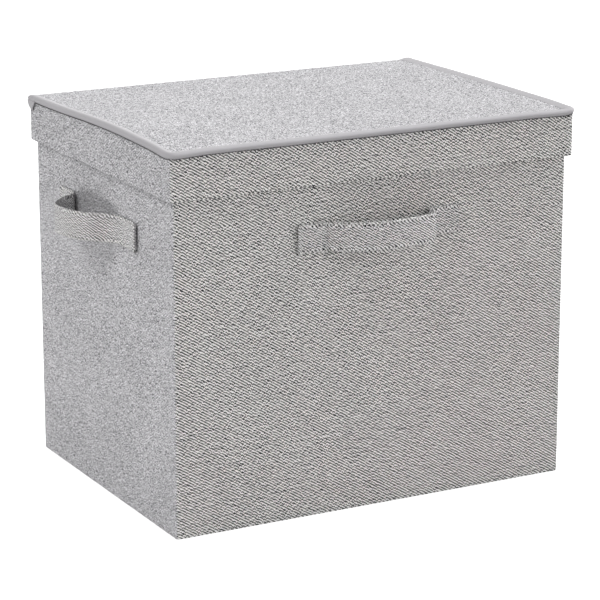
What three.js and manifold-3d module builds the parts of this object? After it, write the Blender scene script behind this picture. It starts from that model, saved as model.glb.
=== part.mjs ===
// Fabric storage cube with a flip lid, in millimetres, +Z up.
// The origin is the middle of the underside. The front faces -Y, and +X is to its right.
// Stiff boards stand in pockets between an outer cloth and a lining, as a sewn box is made.

import * as THREE from 'three';
import { mergeVertices } from 'three/addons/utils/BufferGeometryUtils.js';
import Module from 'manifold-3d';

const wasm = await Module();
wasm.setup();

// Overall sizes
const boxWidth = 400;
const boxDepth = 296;
const overallHeight = 350;
const boxCornerRadius = 3;

// Layers of the walls, lid and skirt
const clothThickness = 1.2;
const liningThickness = 0.8;
const tapeThickness = 0.8;
const wallBoardThickness = 2;
const lidBoardThickness = 2;
const skirtBoardThickness = 1.5;
const layerGap = 0.3;
const rimHemDrop = 20;

// Loose base board in its sleeve
const baseBoardThickness = 2.5;
const baseInsertClearance = 0.8;

// Lid
const lidDrop = 45;
const skirtClearance = 0.7;
const skirtCornerRadius = 4;
const bindingHeight = 6;
const bindingReach = 2.4;
const bindingTopWidth = 8;
const bindingEdgeRadius = 2;
const bindingCornerRadius = 9;
const bindingSeamGap = 0.8;
const lidBackOverhang = 1.5;

// Cloth hinge along the back
const hingeSlackReach = 7;
const hingeSlackDrop = 2.1;
const hingeReturnDrop = 1;
const hingeTailLength = 20;
const hingeSideMargin = 2;

// Handles
const strapWidth = 26.5;
const strapThickness = 2.2;
const handleSpan = 107;
const handleBow = 27;
const handlePatchLength = 29.5;
const handleBendRadius = 3;
const gripLength = 96;
const handleBelowTop = 90;
const sideHandleShift = 3;

// Cutting and smoothness
const cutOverrun = 20;
const cornerSteps = 4;
const edgeSteps = 3;
const bendSteps = 5;
const bowSteps = 40;

// Levels, from the top of the lid down
const lidClothTop = overallHeight - tapeThickness - layerGap;
const lidClothBottom = lidClothTop - clothThickness;
const lidBoardTop = lidClothBottom - layerGap;
const lidBoardBottom = lidBoardTop - lidBoardThickness;
const lidLiningTop = lidBoardBottom - layerGap;
const lidLiningBottom = lidLiningTop - liningThickness;
const rimTop = lidLiningBottom - layerGap;
const pocketTop = rimTop - clothThickness - layerGap;
const skirtBottom = overallHeight - lidDrop;
const bindingBottom = overallHeight - bindingHeight;

// Levels, from the floor up
const pocketBottom = clothThickness + layerGap;
const floorLiningTop = pocketBottom + liningThickness;
const insertBottom = floorLiningTop + layerGap;
const insertBoardBottom = insertBottom + liningThickness + layerGap;
const insertBoardTop = insertBoardBottom + baseBoardThickness;
const insertTop = insertBoardTop + layerGap + liningThickness;

// Depths into the wall from its outer face
const wallBoardDepth = clothThickness + layerGap;
const wallLiningDepth = wallBoardDepth + wallBoardThickness + layerGap;
const wallInnerDepth = wallLiningDepth + liningThickness;
const rimHemDepth = wallInnerDepth + layerGap;
const rimInnerDepth = rimHemDepth + clothThickness;

// Distances of the skirt and the binding outside the wall
const skirtBoardDepth = clothThickness + layerGap;
const skirtLiningDepth = skirtBoardDepth + skirtBoardThickness + layerGap;
const skirtInnerDepth = skirtLiningDepth + liningThickness;
const skirtProud = skirtClearance + skirtInnerDepth;
const bindingProud = skirtProud + bindingReach;
const seamProud = bindingProud - tapeThickness - bindingSeamGap;
const seamCornerRadius = bindingCornerRadius - tapeThickness - bindingSeamGap;

const halfWidth = boxWidth / 2;
const halfDepth = boxDepth / 2;
const lidBack = halfDepth + lidBackOverhang;
const skirtBack = halfDepth;

// Sides of the box. A side's own frame has +X along the wall and +Y out of it.
const backSide = { turn: 0, halfLength: halfWidth, distance: halfDepth };
const leftSide = { turn: Math.PI / 2, halfLength: halfDepth, distance: halfWidth };
const frontSide = { turn: Math.PI, halfLength: halfWidth, distance: halfDepth };
const rightSide = { turn: -Math.PI / 2, halfLength: halfDepth, distance: halfWidth };
const wallSides = { front: frontSide, back: backSide, left: leftSide, right: rightSide };
const skirtSides = { front: frontSide, left: leftSide, right: rightSide };

// Finishes
function finish(color, roughness) {
  return new THREE.MeshStandardMaterial({ color, roughness, metalness: 0 });
}

const marlCloth = () => finish('#a9a8a8', 0.95);
const bindingTape = () => finish('#aaa8ab', 0.7);
const greyLining = () => finish('#b3b2b1', 0.9);
const greyBoard = () => finish('#9a8f80', 0.9);

// Solids
function solidFrom(geometry) {
  geometry.deleteAttribute('normal');
  geometry.deleteAttribute('uv');
  const merged = mergeVertices(geometry);
  const mesh = new wasm.Mesh({
    numProp: 3,
    vertProperties: new Float32Array(merged.attributes.position.array),
    triVerts: new Uint32Array(merged.index.array),
  });
  return new wasm.Manifold(mesh);
}

function geometryFrom(solid) {
  const mesh = solid.getMesh();
  const geometry = new THREE.BufferGeometry();
  geometry.setAttribute('position', new THREE.BufferAttribute(new Float32Array(mesh.vertProperties), 3));
  geometry.setIndex(new THREE.BufferAttribute(new Uint32Array(mesh.triVerts), 1));
  geometry.computeVertexNormals();
  return geometry;
}

function piece(name, solid, material) {
  const mesh = new THREE.Mesh(geometryFrom(solid), material);
  mesh.name = name;
  return mesh;
}

// An upright prism of a flat outline, between two levels.
function prism(shape, bottom, top) {
  const geometry = new THREE.ExtrudeGeometry(shape, {
    depth: top - bottom,
    bevelEnabled: false,
    curveSegments: cornerSteps,
  });
  geometry.translate(0, 0, bottom);
  return solidFrom(geometry);
}

// A rectangle given by its four edges, with its corners rounded.
function outline(left, right, front, back, radius) {
  const shape = new THREE.Shape();
  if (radius <= 0) {
    shape.moveTo(left, front);
    shape.lineTo(right, front);
    shape.lineTo(right, back);
    shape.lineTo(left, back);
    shape.closePath();
    return shape;
  }
  shape.moveTo(left + radius, front);
  shape.lineTo(right - radius, front);
  shape.absarc(right - radius, front + radius, radius, -Math.PI / 2, 0, false);
  shape.lineTo(right, back - radius);
  shape.absarc(right - radius, back - radius, radius, 0, Math.PI / 2, false);
  shape.lineTo(left + radius, back);
  shape.absarc(left + radius, back - radius, radius, Math.PI / 2, Math.PI, false);
  shape.lineTo(left, front + radius);
  shape.absarc(left + radius, front + radius, radius, Math.PI, Math.PI * 3 / 2, false);
  return shape;
}

// The box outline drawn in by a depth, or let out where the depth is negative.
function boxOutline(depth, radius) {
  return outline(-halfWidth + depth, halfWidth - depth, -halfDepth + depth, halfDepth - depth, radius);
}

function block(left, right, front, back, bottom, top) {
  return prism(outline(left, right, front, back, 0), bottom, top);
}

// A wall of even thickness that runs round the box.
function wallRing(outerDepth, innerDepth, radius, bottom, top) {
  const outer = prism(boxOutline(outerDepth, radius), bottom, top);
  const innerRadius = Math.max(radius - (innerDepth - outerDepth), 0);
  const inner = prism(boxOutline(innerDepth, innerRadius), bottom - cutOverrun, top + cutOverrun);
  return outer.subtract(inner);
}

// The space of one side, bounded by the mitre planes through its two corners.
function sideWedge(side) {
  const mitreGap = layerGap * Math.SQRT1_2;
  const outerHalf = side.halfLength + cutOverrun - mitreGap;
  const innerHalf = side.halfLength - cutOverrun - mitreGap;
  const shape = new THREE.Shape();
  shape.moveTo(-innerHalf, side.distance - cutOverrun);
  shape.lineTo(innerHalf, side.distance - cutOverrun);
  shape.lineTo(outerHalf, side.distance + cutOverrun);
  shape.lineTo(-outerHalf, side.distance + cutOverrun);
  shape.closePath();
  const geometry = new THREE.ExtrudeGeometry(shape, {
    depth: overallHeight + cutOverrun + cutOverrun,
    bevelEnabled: false,
  });
  geometry.translate(0, 0, -cutOverrun);
  geometry.rotateZ(side.turn);
  return solidFrom(geometry);
}

// Outer cloth of the walls, turned over the rim and hemmed inside
function outerClothRing() {
  const skin = wallRing(0, clothThickness, boxCornerRadius, 0, rimTop);
  const overRim = wallRing(0, rimInnerDepth, boxCornerRadius, rimTop - clothThickness, rimTop);
  const hem = wallRing(rimHemDepth, rimInnerDepth, 0, rimTop - rimHemDrop, rimTop);
  return skin.add(overRim).add(hem);
}

function addWalls(group) {
  const outerCloth = outerClothRing();
  const lining = wallRing(wallLiningDepth, wallInnerDepth, 0, pocketBottom, pocketTop);
  for (const [name, side] of Object.entries(wallSides)) {
    const wedge = sideWedge(side);
    group.add(piece(`${name}_outer_cloth`, outerCloth.intersect(wedge), marlCloth()));
    group.add(piece(`${name}_lining`, lining.intersect(wedge), greyLining()));
    group.add(wallBoard(name, side));
  }
}

// The front and back boards stop at the rounded corners, and the side boards stand between them.
function wallBoard(name, side) {
  const isLong = side.distance === halfDepth;
  const endDepth = isLong ? boxCornerRadius : wallBoardDepth + wallBoardThickness + layerGap;
  const reach = side.halfLength - endDepth;
  const outer = side.distance - wallBoardDepth;
  const board = block(-reach, reach, outer - wallBoardThickness, outer, pocketBottom, pocketTop);
  const mesh = piece(`${name}_board`, board, greyBoard());
  mesh.rotation.z = side.turn;
  return mesh;
}

function addFloor(group) {
  const cloth = prism(boxOutline(wallBoardDepth, boxCornerRadius - wallBoardDepth), 0, clothThickness);
  group.add(piece('bottom_cloth', cloth, marlCloth()));
  const lining = prism(boxOutline(wallInnerDepth + layerGap, 0), pocketBottom, floorLiningTop);
  group.add(piece('floor_lining', lining, greyLining()));
}

// Loose base board, in a sleeve left open along its back edge
function addBaseInsert(group) {
  const edge = rimInnerDepth + baseInsertClearance;
  const pocketEdge = edge + liningThickness;
  const boardEdge = pocketEdge + layerGap;
  const sleeve = prism(boxOutline(edge, 0), insertBottom, insertTop);
  const pocket = block(
    -halfWidth + pocketEdge,
    halfWidth - pocketEdge,
    -halfDepth + pocketEdge,
    halfDepth + cutOverrun,
    insertBottom + liningThickness,
    insertTop - liningThickness,
  );
  group.add(piece('base_insert_sleeve', sleeve.subtract(pocket), greyLining()));
  const board = prism(boxOutline(boardEdge, 0), insertBoardBottom, insertBoardTop);
  group.add(piece('base_insert_board', board, greyBoard()));
}

// The lid outline let out beyond the walls at the front and sides, and stopped at the back edge.
function lidOutline(proud, back, radius) {
  return outline(-halfWidth - proud, halfWidth + proud, -halfDepth - proud, back + cutOverrun, radius);
}

function trimmedLidPrism(proud, back, radius, bottom, top) {
  return prism(lidOutline(proud, back, radius), bottom, top).subtract(behind(back));
}

// Everything behind a line across the lid, for trimming its back edge.
function behind(back) {
  const reach = halfWidth + bindingProud + cutOverrun;
  const depth = cutOverrun + cutOverrun;
  return block(-reach, reach, back, back + depth, -cutOverrun, overallHeight + cutOverrun);
}

// Top panel: the cloth turns down over the back edge of its board.
function addLidPanel(group) {
  const boardProud = skirtProud - skirtBoardDepth;
  const boardBack = lidBack - clothThickness - layerGap;
  const sheet = trimmedLidPrism(seamProud, lidBack, seamCornerRadius, lidClothBottom, lidClothTop);
  const backTurn = block(
    -halfWidth - skirtProud,
    halfWidth + skirtProud,
    lidBack - clothThickness,
    lidBack,
    lidLiningBottom,
    lidClothTop,
  );
  group.add(piece('lid_top_cloth', sheet.add(backTurn), marlCloth()));
  const board = trimmedLidPrism(boardProud, boardBack, skirtCornerRadius, lidBoardBottom, lidBoardTop);
  group.add(piece('lid_top_board', board, greyBoard()));
  const liningProud = skirtProud - skirtLiningDepth;
  const lining = trimmedLidPrism(liningProud, boardBack, 0, lidLiningBottom, lidLiningTop);
  group.add(piece('lid_top_lining', lining, greyLining()));
}

function skirtRing(outerDepth, innerDepth, radius, bottom, top, back) {
  const innerRadius = Math.max(radius - (innerDepth - outerDepth), 0);
  const outer = trimmedLidPrism(skirtProud - outerDepth, back, radius, bottom, top);
  const innerProud = skirtProud - innerDepth;
  const innerOutline = lidOutline(innerProud, back + cutOverrun, innerRadius);
  return outer.subtract(prism(innerOutline, bottom - cutOverrun, top + cutOverrun));
}

// Skirt cloth: a face, a return under the board's lower edge, and a seam turned out into the binding.
function skirtClothRing() {
  const face = skirtRing(0, clothThickness, skirtCornerRadius, skirtBottom, lidBoardTop, skirtBack);
  const returnTop = skirtBottom + clothThickness;
  const lowerReturn = skirtRing(0, skirtInnerDepth, skirtCornerRadius, skirtBottom, returnTop, skirtBack);
  const seamBottom = lidBoardTop - clothThickness;
  const seam = trimmedLidPrism(seamProud, skirtBack, seamCornerRadius, seamBottom, lidBoardTop);
  const seamInner = lidOutline(skirtProud - clothThickness, lidBack, skirtCornerRadius - clothThickness);
  const seamRing = seam.subtract(prism(seamInner, seamBottom - cutOverrun, lidBoardTop + cutOverrun));
  return face.add(lowerReturn).add(seamRing);
}

function addSkirt(group) {
  const boardBottom = skirtBottom + clothThickness + layerGap;
  const boardTop = lidBoardBottom - layerGap;
  const liningTop = lidLiningBottom - layerGap;
  const boardBack = skirtBack - layerGap;
  const cloth = skirtClothRing();
  const boards = skirtRing(
    skirtBoardDepth,
    skirtBoardDepth + skirtBoardThickness,
    skirtCornerRadius - skirtBoardDepth,
    boardBottom,
    boardTop,
    boardBack,
  );
  const linings = skirtRing(skirtLiningDepth, skirtInnerDepth, 0, boardBottom, liningTop, boardBack);
  for (const [name, side] of Object.entries(skirtSides)) {
    const wedge = sideWedge(side).subtract(behind(skirtBack));
    group.add(piece(`lid_${name}_skirt_cloth`, cloth.intersect(wedge), marlCloth()));
    group.add(piece(`lid_${name}_skirt_board`, boards.intersect(wedge), greyBoard()));
    group.add(piece(`lid_${name}_skirt_lining`, linings.intersect(wedge), greyLining()));
  }
}

// A lid-shaped slab whose upper and lower edges are rounded over.
function roundedSlab(proud, cornerRadius, edgeRadius, bottom, top) {
  const shape = lidOutline(proud - edgeRadius, lidBack, cornerRadius - edgeRadius);
  const geometry = new THREE.ExtrudeGeometry(shape, {
    depth: top - bottom - edgeRadius - edgeRadius,
    bevelEnabled: true,
    bevelThickness: edgeRadius,
    bevelSize: edgeRadius,
    bevelSegments: edgeSteps,
    curveSegments: cornerSteps,
  });
  geometry.translate(0, 0, bottom + edgeRadius);
  return solidFrom(geometry);
}

// Binding tape, one length folded round the seam along the left, front and right edges
function addBinding(group) {
  const slab = roundedSlab(
    bindingProud,
    bindingCornerRadius,
    bindingEdgeRadius,
    bindingBottom,
    overallHeight,
  );
  const core = roundedSlab(
    bindingProud - tapeThickness,
    bindingCornerRadius - tapeThickness,
    bindingEdgeRadius - tapeThickness,
    bindingBottom + tapeThickness,
    overallHeight - tapeThickness,
  );
  const topReach = bindingProud - bindingTopWidth;
  const overTop = lidOutline(topReach, lidBack + cutOverrun, bindingCornerRadius);
  const topWindow = prism(overTop, lidClothTop, overallHeight + cutOverrun);
  const underReach = skirtProud + layerGap;
  const underLid = lidOutline(underReach, lidBack + cutOverrun, skirtCornerRadius);
  const underWindow = prism(underLid, bindingBottom - cutOverrun, lidBoardTop);
  const tape = slab.subtract(core).subtract(topWindow).subtract(underWindow).subtract(behind(lidBack));
  group.add(piece('lid_binding', tape, bindingTape()));
}

// A ribbon seen edge on: a path given half the thickness to each side.
function ribbonShape(path, thickness) {
  const near = [];
  const far = [];
  path.forEach((point, index) => {
    const before = path[Math.max(index - 1, 0)];
    const after = path[Math.min(index + 1, path.length - 1)];
    const inward = point.clone().sub(before).normalize();
    const outward = after.clone().sub(point).normalize();
    const along = inward.add(outward).normalize();
    const reference = index === 0 ? after.clone().sub(point) : point.clone().sub(before);
    const spread = thickness / 2 / Math.max(along.dot(reference.normalize()), Math.SQRT1_2);
    const normal = new THREE.Vector2(-along.y, along.x).multiplyScalar(spread);
    near.push(point.clone().add(normal));
    far.push(point.clone().sub(normal));
  });
  return new THREE.Shape([...near, ...far.reverse()]);
}

// Slack hinge cloth: sewn behind the lid's back edge, folded out, and sewn down the back wall.
function addHingeCloth(group) {
  const onLid = lidBack + layerGap + clothThickness / 2;
  const onWall = halfDepth + layerGap + clothThickness / 2;
  const slackLevel = lidLiningBottom - hingeSlackDrop;
  const slackest = new THREE.Vector2(lidBack + hingeSlackReach, slackLevel);
  const returned = new THREE.Vector2(onWall, slackLevel - hingeReturnDrop);
  const upper = hingeStrip(
    [new THREE.Vector2(onLid, lidClothTop), new THREE.Vector2(onLid, lidLiningTop), slackest],
    halfWidth + skirtProud - hingeSideMargin,
  );
  const lower = hingeStrip(
    [slackest, returned, new THREE.Vector2(onWall, returned.y - hingeTailLength)],
    halfWidth - boxCornerRadius,
  );
  const wall = block(-boxWidth, boxWidth, 0, halfDepth + layerGap, 0, rimTop);
  group.add(piece('hinge_cloth', upper.add(lower).subtract(wall), marlCloth()));
}

// A strip of cloth that runs across the back, from its section in (Y, Z).
function hingeStrip(section, halfLength) {
  const geometry = new THREE.ExtrudeGeometry(ribbonShape(section, clothThickness), {
    depth: halfLength + halfLength,
    bevelEnabled: false,
  });
  geometry.translate(0, 0, -halfLength);
  const turn = new THREE.Matrix4().makeBasis(
    new THREE.Vector3(0, 1, 0),
    new THREE.Vector3(0, 0, 1),
    new THREE.Vector3(1, 0, 0),
  );
  geometry.applyMatrix4(turn);
  return solidFrom(geometry);
}

// Handle strap, seen from above: sewn flat, bent off the wall, and bowed out between its ends
function strapPath() {
  const flat = layerGap + strapThickness / 2;
  const springing = flat + handleBendRadius;
  const halfSpan = handleSpan / 2;
  const rise = handleBow - strapThickness / 2 - springing;
  const points = [new THREE.Vector2(-halfSpan - handlePatchLength, flat)];
  for (let step = 0; step < bendSteps; step += 1) {
    const angle = (step / bendSteps) * Math.PI / 2;
    const along = -halfSpan - handleBendRadius * (1 - Math.sin(angle));
    points.push(new THREE.Vector2(along, springing - handleBendRadius * Math.cos(angle)));
  }
  for (let step = 0; step <= bowSteps; step += 1) {
    const angle = (step / bowSteps) * Math.PI;
    points.push(new THREE.Vector2(-halfSpan * Math.cos(angle), springing + rise * Math.sin(angle)));
  }
  for (let step = bendSteps - 1; step >= 0; step -= 1) {
    const mirrored = points[step + 1].clone();
    mirrored.x = -mirrored.x;
    points.push(mirrored);
  }
  points.push(new THREE.Vector2(halfSpan + handlePatchLength, flat));
  return points;
}

// The strap is one length in use; it is divided where the sewn ends hand over to the grip.
function addHandle(group, name, side, shift) {
  const strap = prism(ribbonShape(strapPath(), strapThickness), 0, strapWidth);
  const joint = gripLength / 2;
  const reach = joint + handleSpan + cutOverrun;
  const cut = layerGap / 2;
  const farSide = handleBow + cutOverrun;
  const top = strapWidth + cutOverrun;
  const cutter = (from, to) => block(from, to, -cutOverrun, farSide, -cutOverrun, top);
  const holder = new THREE.Group();
  holder.rotation.z = side.turn;
  const frame = new THREE.Group();
  frame.position.set(shift, side.distance, overallHeight - handleBelowTop - strapWidth / 2);
  frame.add(piece(`${name}_handle_end_a`, strap.intersect(cutter(-reach, -joint - cut)), marlCloth()));
  frame.add(piece(`${name}_handle_grip`, strap.intersect(cutter(-joint + cut, joint - cut)), marlCloth()));
  frame.add(piece(`${name}_handle_end_b`, strap.intersect(cutter(joint + cut, reach)), marlCloth()));
  holder.add(frame);
  group.add(holder);
}

const storageCube = new THREE.Group();

const bin = new THREE.Group();
addWalls(bin);
addFloor(bin);
addHandle(bin, 'front', frontSide, 0);
addHandle(bin, 'left', leftSide, sideHandleShift);
addHandle(bin, 'right', rightSide, -sideHandleShift);
storageCube.add(bin);

const baseInsert = new THREE.Group();
addBaseInsert(baseInsert);
storageCube.add(baseInsert);

const lid = new THREE.Group();
addLidPanel(lid);
addSkirt(lid);
addBinding(lid);
addHingeCloth(lid);
storageCube.add(lid);

export default storageCube;
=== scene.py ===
"""Fabric storage cube with a flip lid: its cloth, tape, linings and thread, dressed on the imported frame.

Lengths are in millimetres until a mesh is made, where they become metres. Only the studio's card,
floor and clip distance are given in metres. The front faces -Y, +X is to its right and +Z is up.
"""

import logging
import math
from collections.abc import Sequence
from dataclasses import dataclass, replace
from enum import Enum

import bpy
import numpy as np
from mathutils import Matrix, Vector


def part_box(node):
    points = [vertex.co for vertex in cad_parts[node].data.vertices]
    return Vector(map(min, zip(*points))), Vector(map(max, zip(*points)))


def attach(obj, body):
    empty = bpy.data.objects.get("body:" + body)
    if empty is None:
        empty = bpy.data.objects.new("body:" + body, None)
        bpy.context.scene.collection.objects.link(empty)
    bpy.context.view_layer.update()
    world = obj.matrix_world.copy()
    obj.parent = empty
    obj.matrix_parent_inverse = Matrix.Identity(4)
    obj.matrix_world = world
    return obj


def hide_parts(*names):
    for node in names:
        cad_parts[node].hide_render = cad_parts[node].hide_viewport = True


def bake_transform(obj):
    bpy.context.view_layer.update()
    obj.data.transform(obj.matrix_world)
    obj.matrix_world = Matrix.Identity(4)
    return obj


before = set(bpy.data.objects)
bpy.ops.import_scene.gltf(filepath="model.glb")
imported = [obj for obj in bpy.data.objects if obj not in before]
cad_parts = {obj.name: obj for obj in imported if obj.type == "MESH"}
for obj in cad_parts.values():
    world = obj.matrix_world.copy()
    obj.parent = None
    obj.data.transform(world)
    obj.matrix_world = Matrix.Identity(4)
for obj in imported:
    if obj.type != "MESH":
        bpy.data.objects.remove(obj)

Piece = bpy.types.Object
NodeTree = bpy.types.NodeTree
NodeSocket = bpy.types.NodeSocket
Places = np.ndarray | float
Knot = tuple[float, float]

LOG = logging.getLogger("storage_cube")
METRES_PER_MM = 0.001
MM_PER_METRE = 1000.0
TINY = 1e-9
CLOTH_UV = "cloth"

# How far a sheet's edge rounds out: one that is turned or folded, and one that is cut close.
SOFT_EDGE = 0.3
CUT_EDGE = 0.1

# How sharp an edge must be to look sharp, and how finely rounds and curves are divided.
SHARP_DEGREES = 50.0
ROUND_STEP_DEGREES = 18.0
KNOT_STEPS = 12
CORNER_POINTS = 6


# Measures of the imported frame


def node_box(node: str) -> tuple[np.ndarray, np.ndarray]:
    """Gives the lowest and highest corners of a CAD node, in millimetres."""
    low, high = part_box(node)
    return np.array(low) / METRES_PER_MM, np.array(high) / METRES_PER_MM


@dataclass(frozen=True)
class BoxSizes:
    """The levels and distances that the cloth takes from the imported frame, in millimetres."""

    half_width: float
    half_depth: float
    rim_top: float
    rim_inner_depth: float
    lining_depth: float
    lining_top: float
    lid_cloth_top: float
    lid_lining_bottom: float
    lid_back: float
    overall_top: float
    skirt_bottom: float
    skirt_board_proud: float
    skirt_lining_proud: float
    binding_proud: float
    binding_bottom: float
    corner_radius: float = 3.0
    skirt_corner_radius: float = 4.0
    binding_corner_radius: float = 9.0
    cloth: float = 1.2
    lining: float = 0.8
    tape: float = 0.8
    layer_gap: float = 0.3

    @property
    def skirt_proud(self) -> float:
        """How far the skirt's face stands out from the walls."""
        return self.skirt_board_proud + self.layer_gap + self.cloth

    def wall_reach(self, side: "Side") -> tuple[float, float]:
        """Gives a wall's half length and its distance from the middle of the box."""
        reach = (self.half_width, self.half_depth)
        return reach if side.is_long else reach[::-1]

    @classmethod
    def from_frame(cls) -> "BoxSizes":
        """Takes the sizes from the boxes of the CAD nodes.

        Returns:
            The sizes.
        """
        half_width = node_box("right_outer_cloth")[1][0]
        half_depth = node_box("back_outer_cloth")[1][1]
        lining_high = node_box("back_lining")[1]
        binding_low, binding_high = node_box("lid_binding")
        return cls(
            half_width=half_width,
            half_depth=half_depth,
            rim_top=node_box("front_outer_cloth")[1][2],
            rim_inner_depth=half_depth - node_box("back_outer_cloth")[0][1],
            lining_depth=half_depth - lining_high[1],
            lining_top=lining_high[2],
            lid_cloth_top=node_box("lid_top_cloth")[1][2],
            lid_lining_bottom=node_box("lid_top_lining")[0][2],
            lid_back=node_box("lid_top_cloth")[1][1],
            overall_top=binding_high[2],
            skirt_bottom=node_box("lid_front_skirt_cloth")[0][2],
            skirt_board_proud=-node_box("lid_front_skirt_board")[0][1] - half_depth,
            skirt_lining_proud=-node_box("lid_front_skirt_lining")[0][1] - half_depth,
            binding_proud=binding_high[0] - half_width,
            binding_bottom=binding_low[2],
        )


class Side(Enum):
    """A side of the box, with the turn in degrees of its own frame, which has +Y out of the wall."""

    BACK = 0
    LEFT = 90
    FRONT = 180
    RIGHT = 270

    @property
    def label(self) -> str:
        """The side's name in the names of its pieces."""
        return self.name.lower()

    @property
    def is_long(self) -> bool:
        """Whether the side runs along the box's width."""
        return self in (Side.BACK, Side.FRONT)

    @property
    def cloth_finish(self) -> "Finish":
        """The finish of the side's cloth: the short panels are cut across it, so its lines are faint."""
        return Finish.MARL if self.is_long else Finish.SIDE_MARL

    def place(self, across: Places, out: Places, level: Places) -> np.ndarray:
        """Places points given in the side's own frame.

        Args:
            across: Distances along the wall.
            out: Distances out from the middle of the box.
            level: Heights above the floor.

        Returns:
            The points in the frame of the whole box, with their coordinates last.
        """
        turn = math.radians(self.value)
        x = across * math.cos(turn) - out * math.sin(turn)
        y = across * math.sin(turn) + out * math.cos(turn)
        return grid(x, y, level)


# Shapes


def grid(*parts: Places) -> np.ndarray:
    """Joins coordinates that broadcast together to a grid of points, with their coordinates last."""
    return np.stack(np.broadcast_arrays(*parts), axis=-1)


def unit(vectors: np.ndarray) -> np.ndarray:
    """Scales vectors to a length of 1."""
    return vectors / np.linalg.norm(vectors, axis=-1, keepdims=True)


def smooth_step(value: np.ndarray, start: float, end: float) -> np.ndarray:
    """Rises smoothly from 0 at start to 1 at end."""
    share = np.clip((value - start) / (end - start), 0, 1)
    return share * share * (3 - 2 * share)


def swell(value: np.ndarray, width: float) -> np.ndarray:
    """Swells smoothly to 1 where the value is 0, and dies away past the width."""
    return np.exp(-((value / width) ** 2))


def even_steps(start: float, end: float, spacing: float) -> np.ndarray:
    """Divides a length into even steps no longer than the spacing."""
    count = max(int(math.ceil(abs(end - start) / spacing)), 1)
    return np.linspace(start, end, count + 1)


def run_lengths(path: np.ndarray) -> np.ndarray:
    """Measures how far along a path each of its points lies."""
    steps = np.linalg.norm(np.diff(path, axis=0), axis=1)
    return np.concatenate([[0.0], np.cumsum(steps)])


@dataclass(frozen=True)
class SoftRelief:
    """A gentle unevenness of sewn cloth, made of a few long waves."""

    seed: int
    height: float
    wavelength: float
    waves: int = 7
    shortest: float = 0.6
    longest: float = 1.8
    spread: float = 1.8

    def at(self, u: np.ndarray, v: np.ndarray, more_seed: int = 0) -> np.ndarray:
        """Gives the relief at places on the cloth.

        Args:
            u: Distances along the cloth.
            v: Distances up the cloth.
            more_seed: Added to the seed, so that each side has its own relief.

        Returns:
            Heights from 0 to the relief's full height.
        """
        draw = np.random.default_rng(self.seed + more_seed)
        total = np.zeros(np.broadcast(u, v).shape)
        for _ in range(self.waves):
            heading = draw.uniform(0, 2 * math.pi)
            length = self.wavelength * draw.uniform(self.shortest, self.longest)
            phase = draw.uniform(0, 2 * math.pi)
            along = u * math.cos(heading) + v * math.sin(heading)
            total += np.sin(2 * math.pi * along / length + phase)
        return self.height * (0.5 + 0.5 * total / self.waves**0.5 / self.spread).clip(0, 1)


def rounded_path(corners: Sequence[Knot], radii: Sequence[float], spacing: float) -> np.ndarray:
    """Rounds the corners of a flat path and divides its straight stretches.

    Args:
        corners: The path's corner points.
        radii: The radius at each corner between the two ends.
        spacing: The longest step on a straight stretch.

    Returns:
        The points of the path, one row each.
    """
    points = [np.array(corner, float) for corner in corners]
    path = [points[0]]
    for before, corner, after, radius in zip(points, points[1:], points[2:], radii):
        into = (corner - before) / np.linalg.norm(corner - before)
        out = (after - corner) / np.linalg.norm(after - corner)
        turn = math.acos(float(np.clip(into @ out, -1, 1)))
        start = corner - into * radius * math.tan(turn / 2)
        left_hand = np.array([-into[1], into[0]])
        side = 1.0 if left_hand @ out > 0 else -1.0
        centre = start + left_hand * side * radius
        extend_straight(path, start, spacing)
        arm_x, arm_y = start - centre
        for angle in even_steps(0, turn, math.radians(ROUND_STEP_DEGREES))[1:]:
            cosine, sine = math.cos(side * angle), math.sin(side * angle)
            path.append(centre + np.array([arm_x * cosine - arm_y * sine, arm_x * sine + arm_y * cosine]))
    extend_straight(path, points[-1], spacing)
    return np.array(path)


def extend_straight(path: list[np.ndarray], goal: np.ndarray, spacing: float) -> None:
    """Lengthens a path straight to a goal, in even steps.

    Args:
        path: The points so far, to which the new ones are added.
        goal: Where the stretch ends.
        spacing: The longest step.
    """
    origin = path[-1]
    reach = np.linalg.norm(goal - origin)
    heading = (goal - origin) / max(reach, TINY)
    path.extend(origin + heading * step for step in even_steps(0, reach, spacing)[1:])


def curved_path(knots: Sequence[Knot], spacing: float) -> np.ndarray:
    """Draws a smooth curve through flat points and divides it evenly.

    Args:
        knots: The points that the curve passes through.
        spacing: The longest step along it.

    Returns:
        The points of the curve, one row each.
    """
    points = np.array(knots, float)
    ends = [2 * points[0] - points[1], *points, 2 * points[-1] - points[-2]]
    fine = []
    for before, start, end, after in zip(ends, ends[1:], ends[2:], ends[3:]):
        reach = np.linalg.norm(end - start)
        leave = (end - before) / np.linalg.norm(end - before) * reach
        arrive = (after - start) / np.linalg.norm(after - start) * reach
        for share in np.linspace(0, 1, KNOT_STEPS + 1)[:-1]:
            square, cube = share**2, share**3
            fine.append(
                (2 * cube - 3 * square + 1) * start
                + (cube - 2 * square + share) * leave
                + (3 * square - 2 * cube) * end
                + (cube - square) * arrive
            )
    fine = np.array([*fine, points[-1]])
    lengths = run_lengths(fine)
    even = even_steps(0, lengths[-1], spacing)
    return np.stack([np.interp(even, lengths, fine[:, axis]) for axis in (0, 1)], axis=1)


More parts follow.
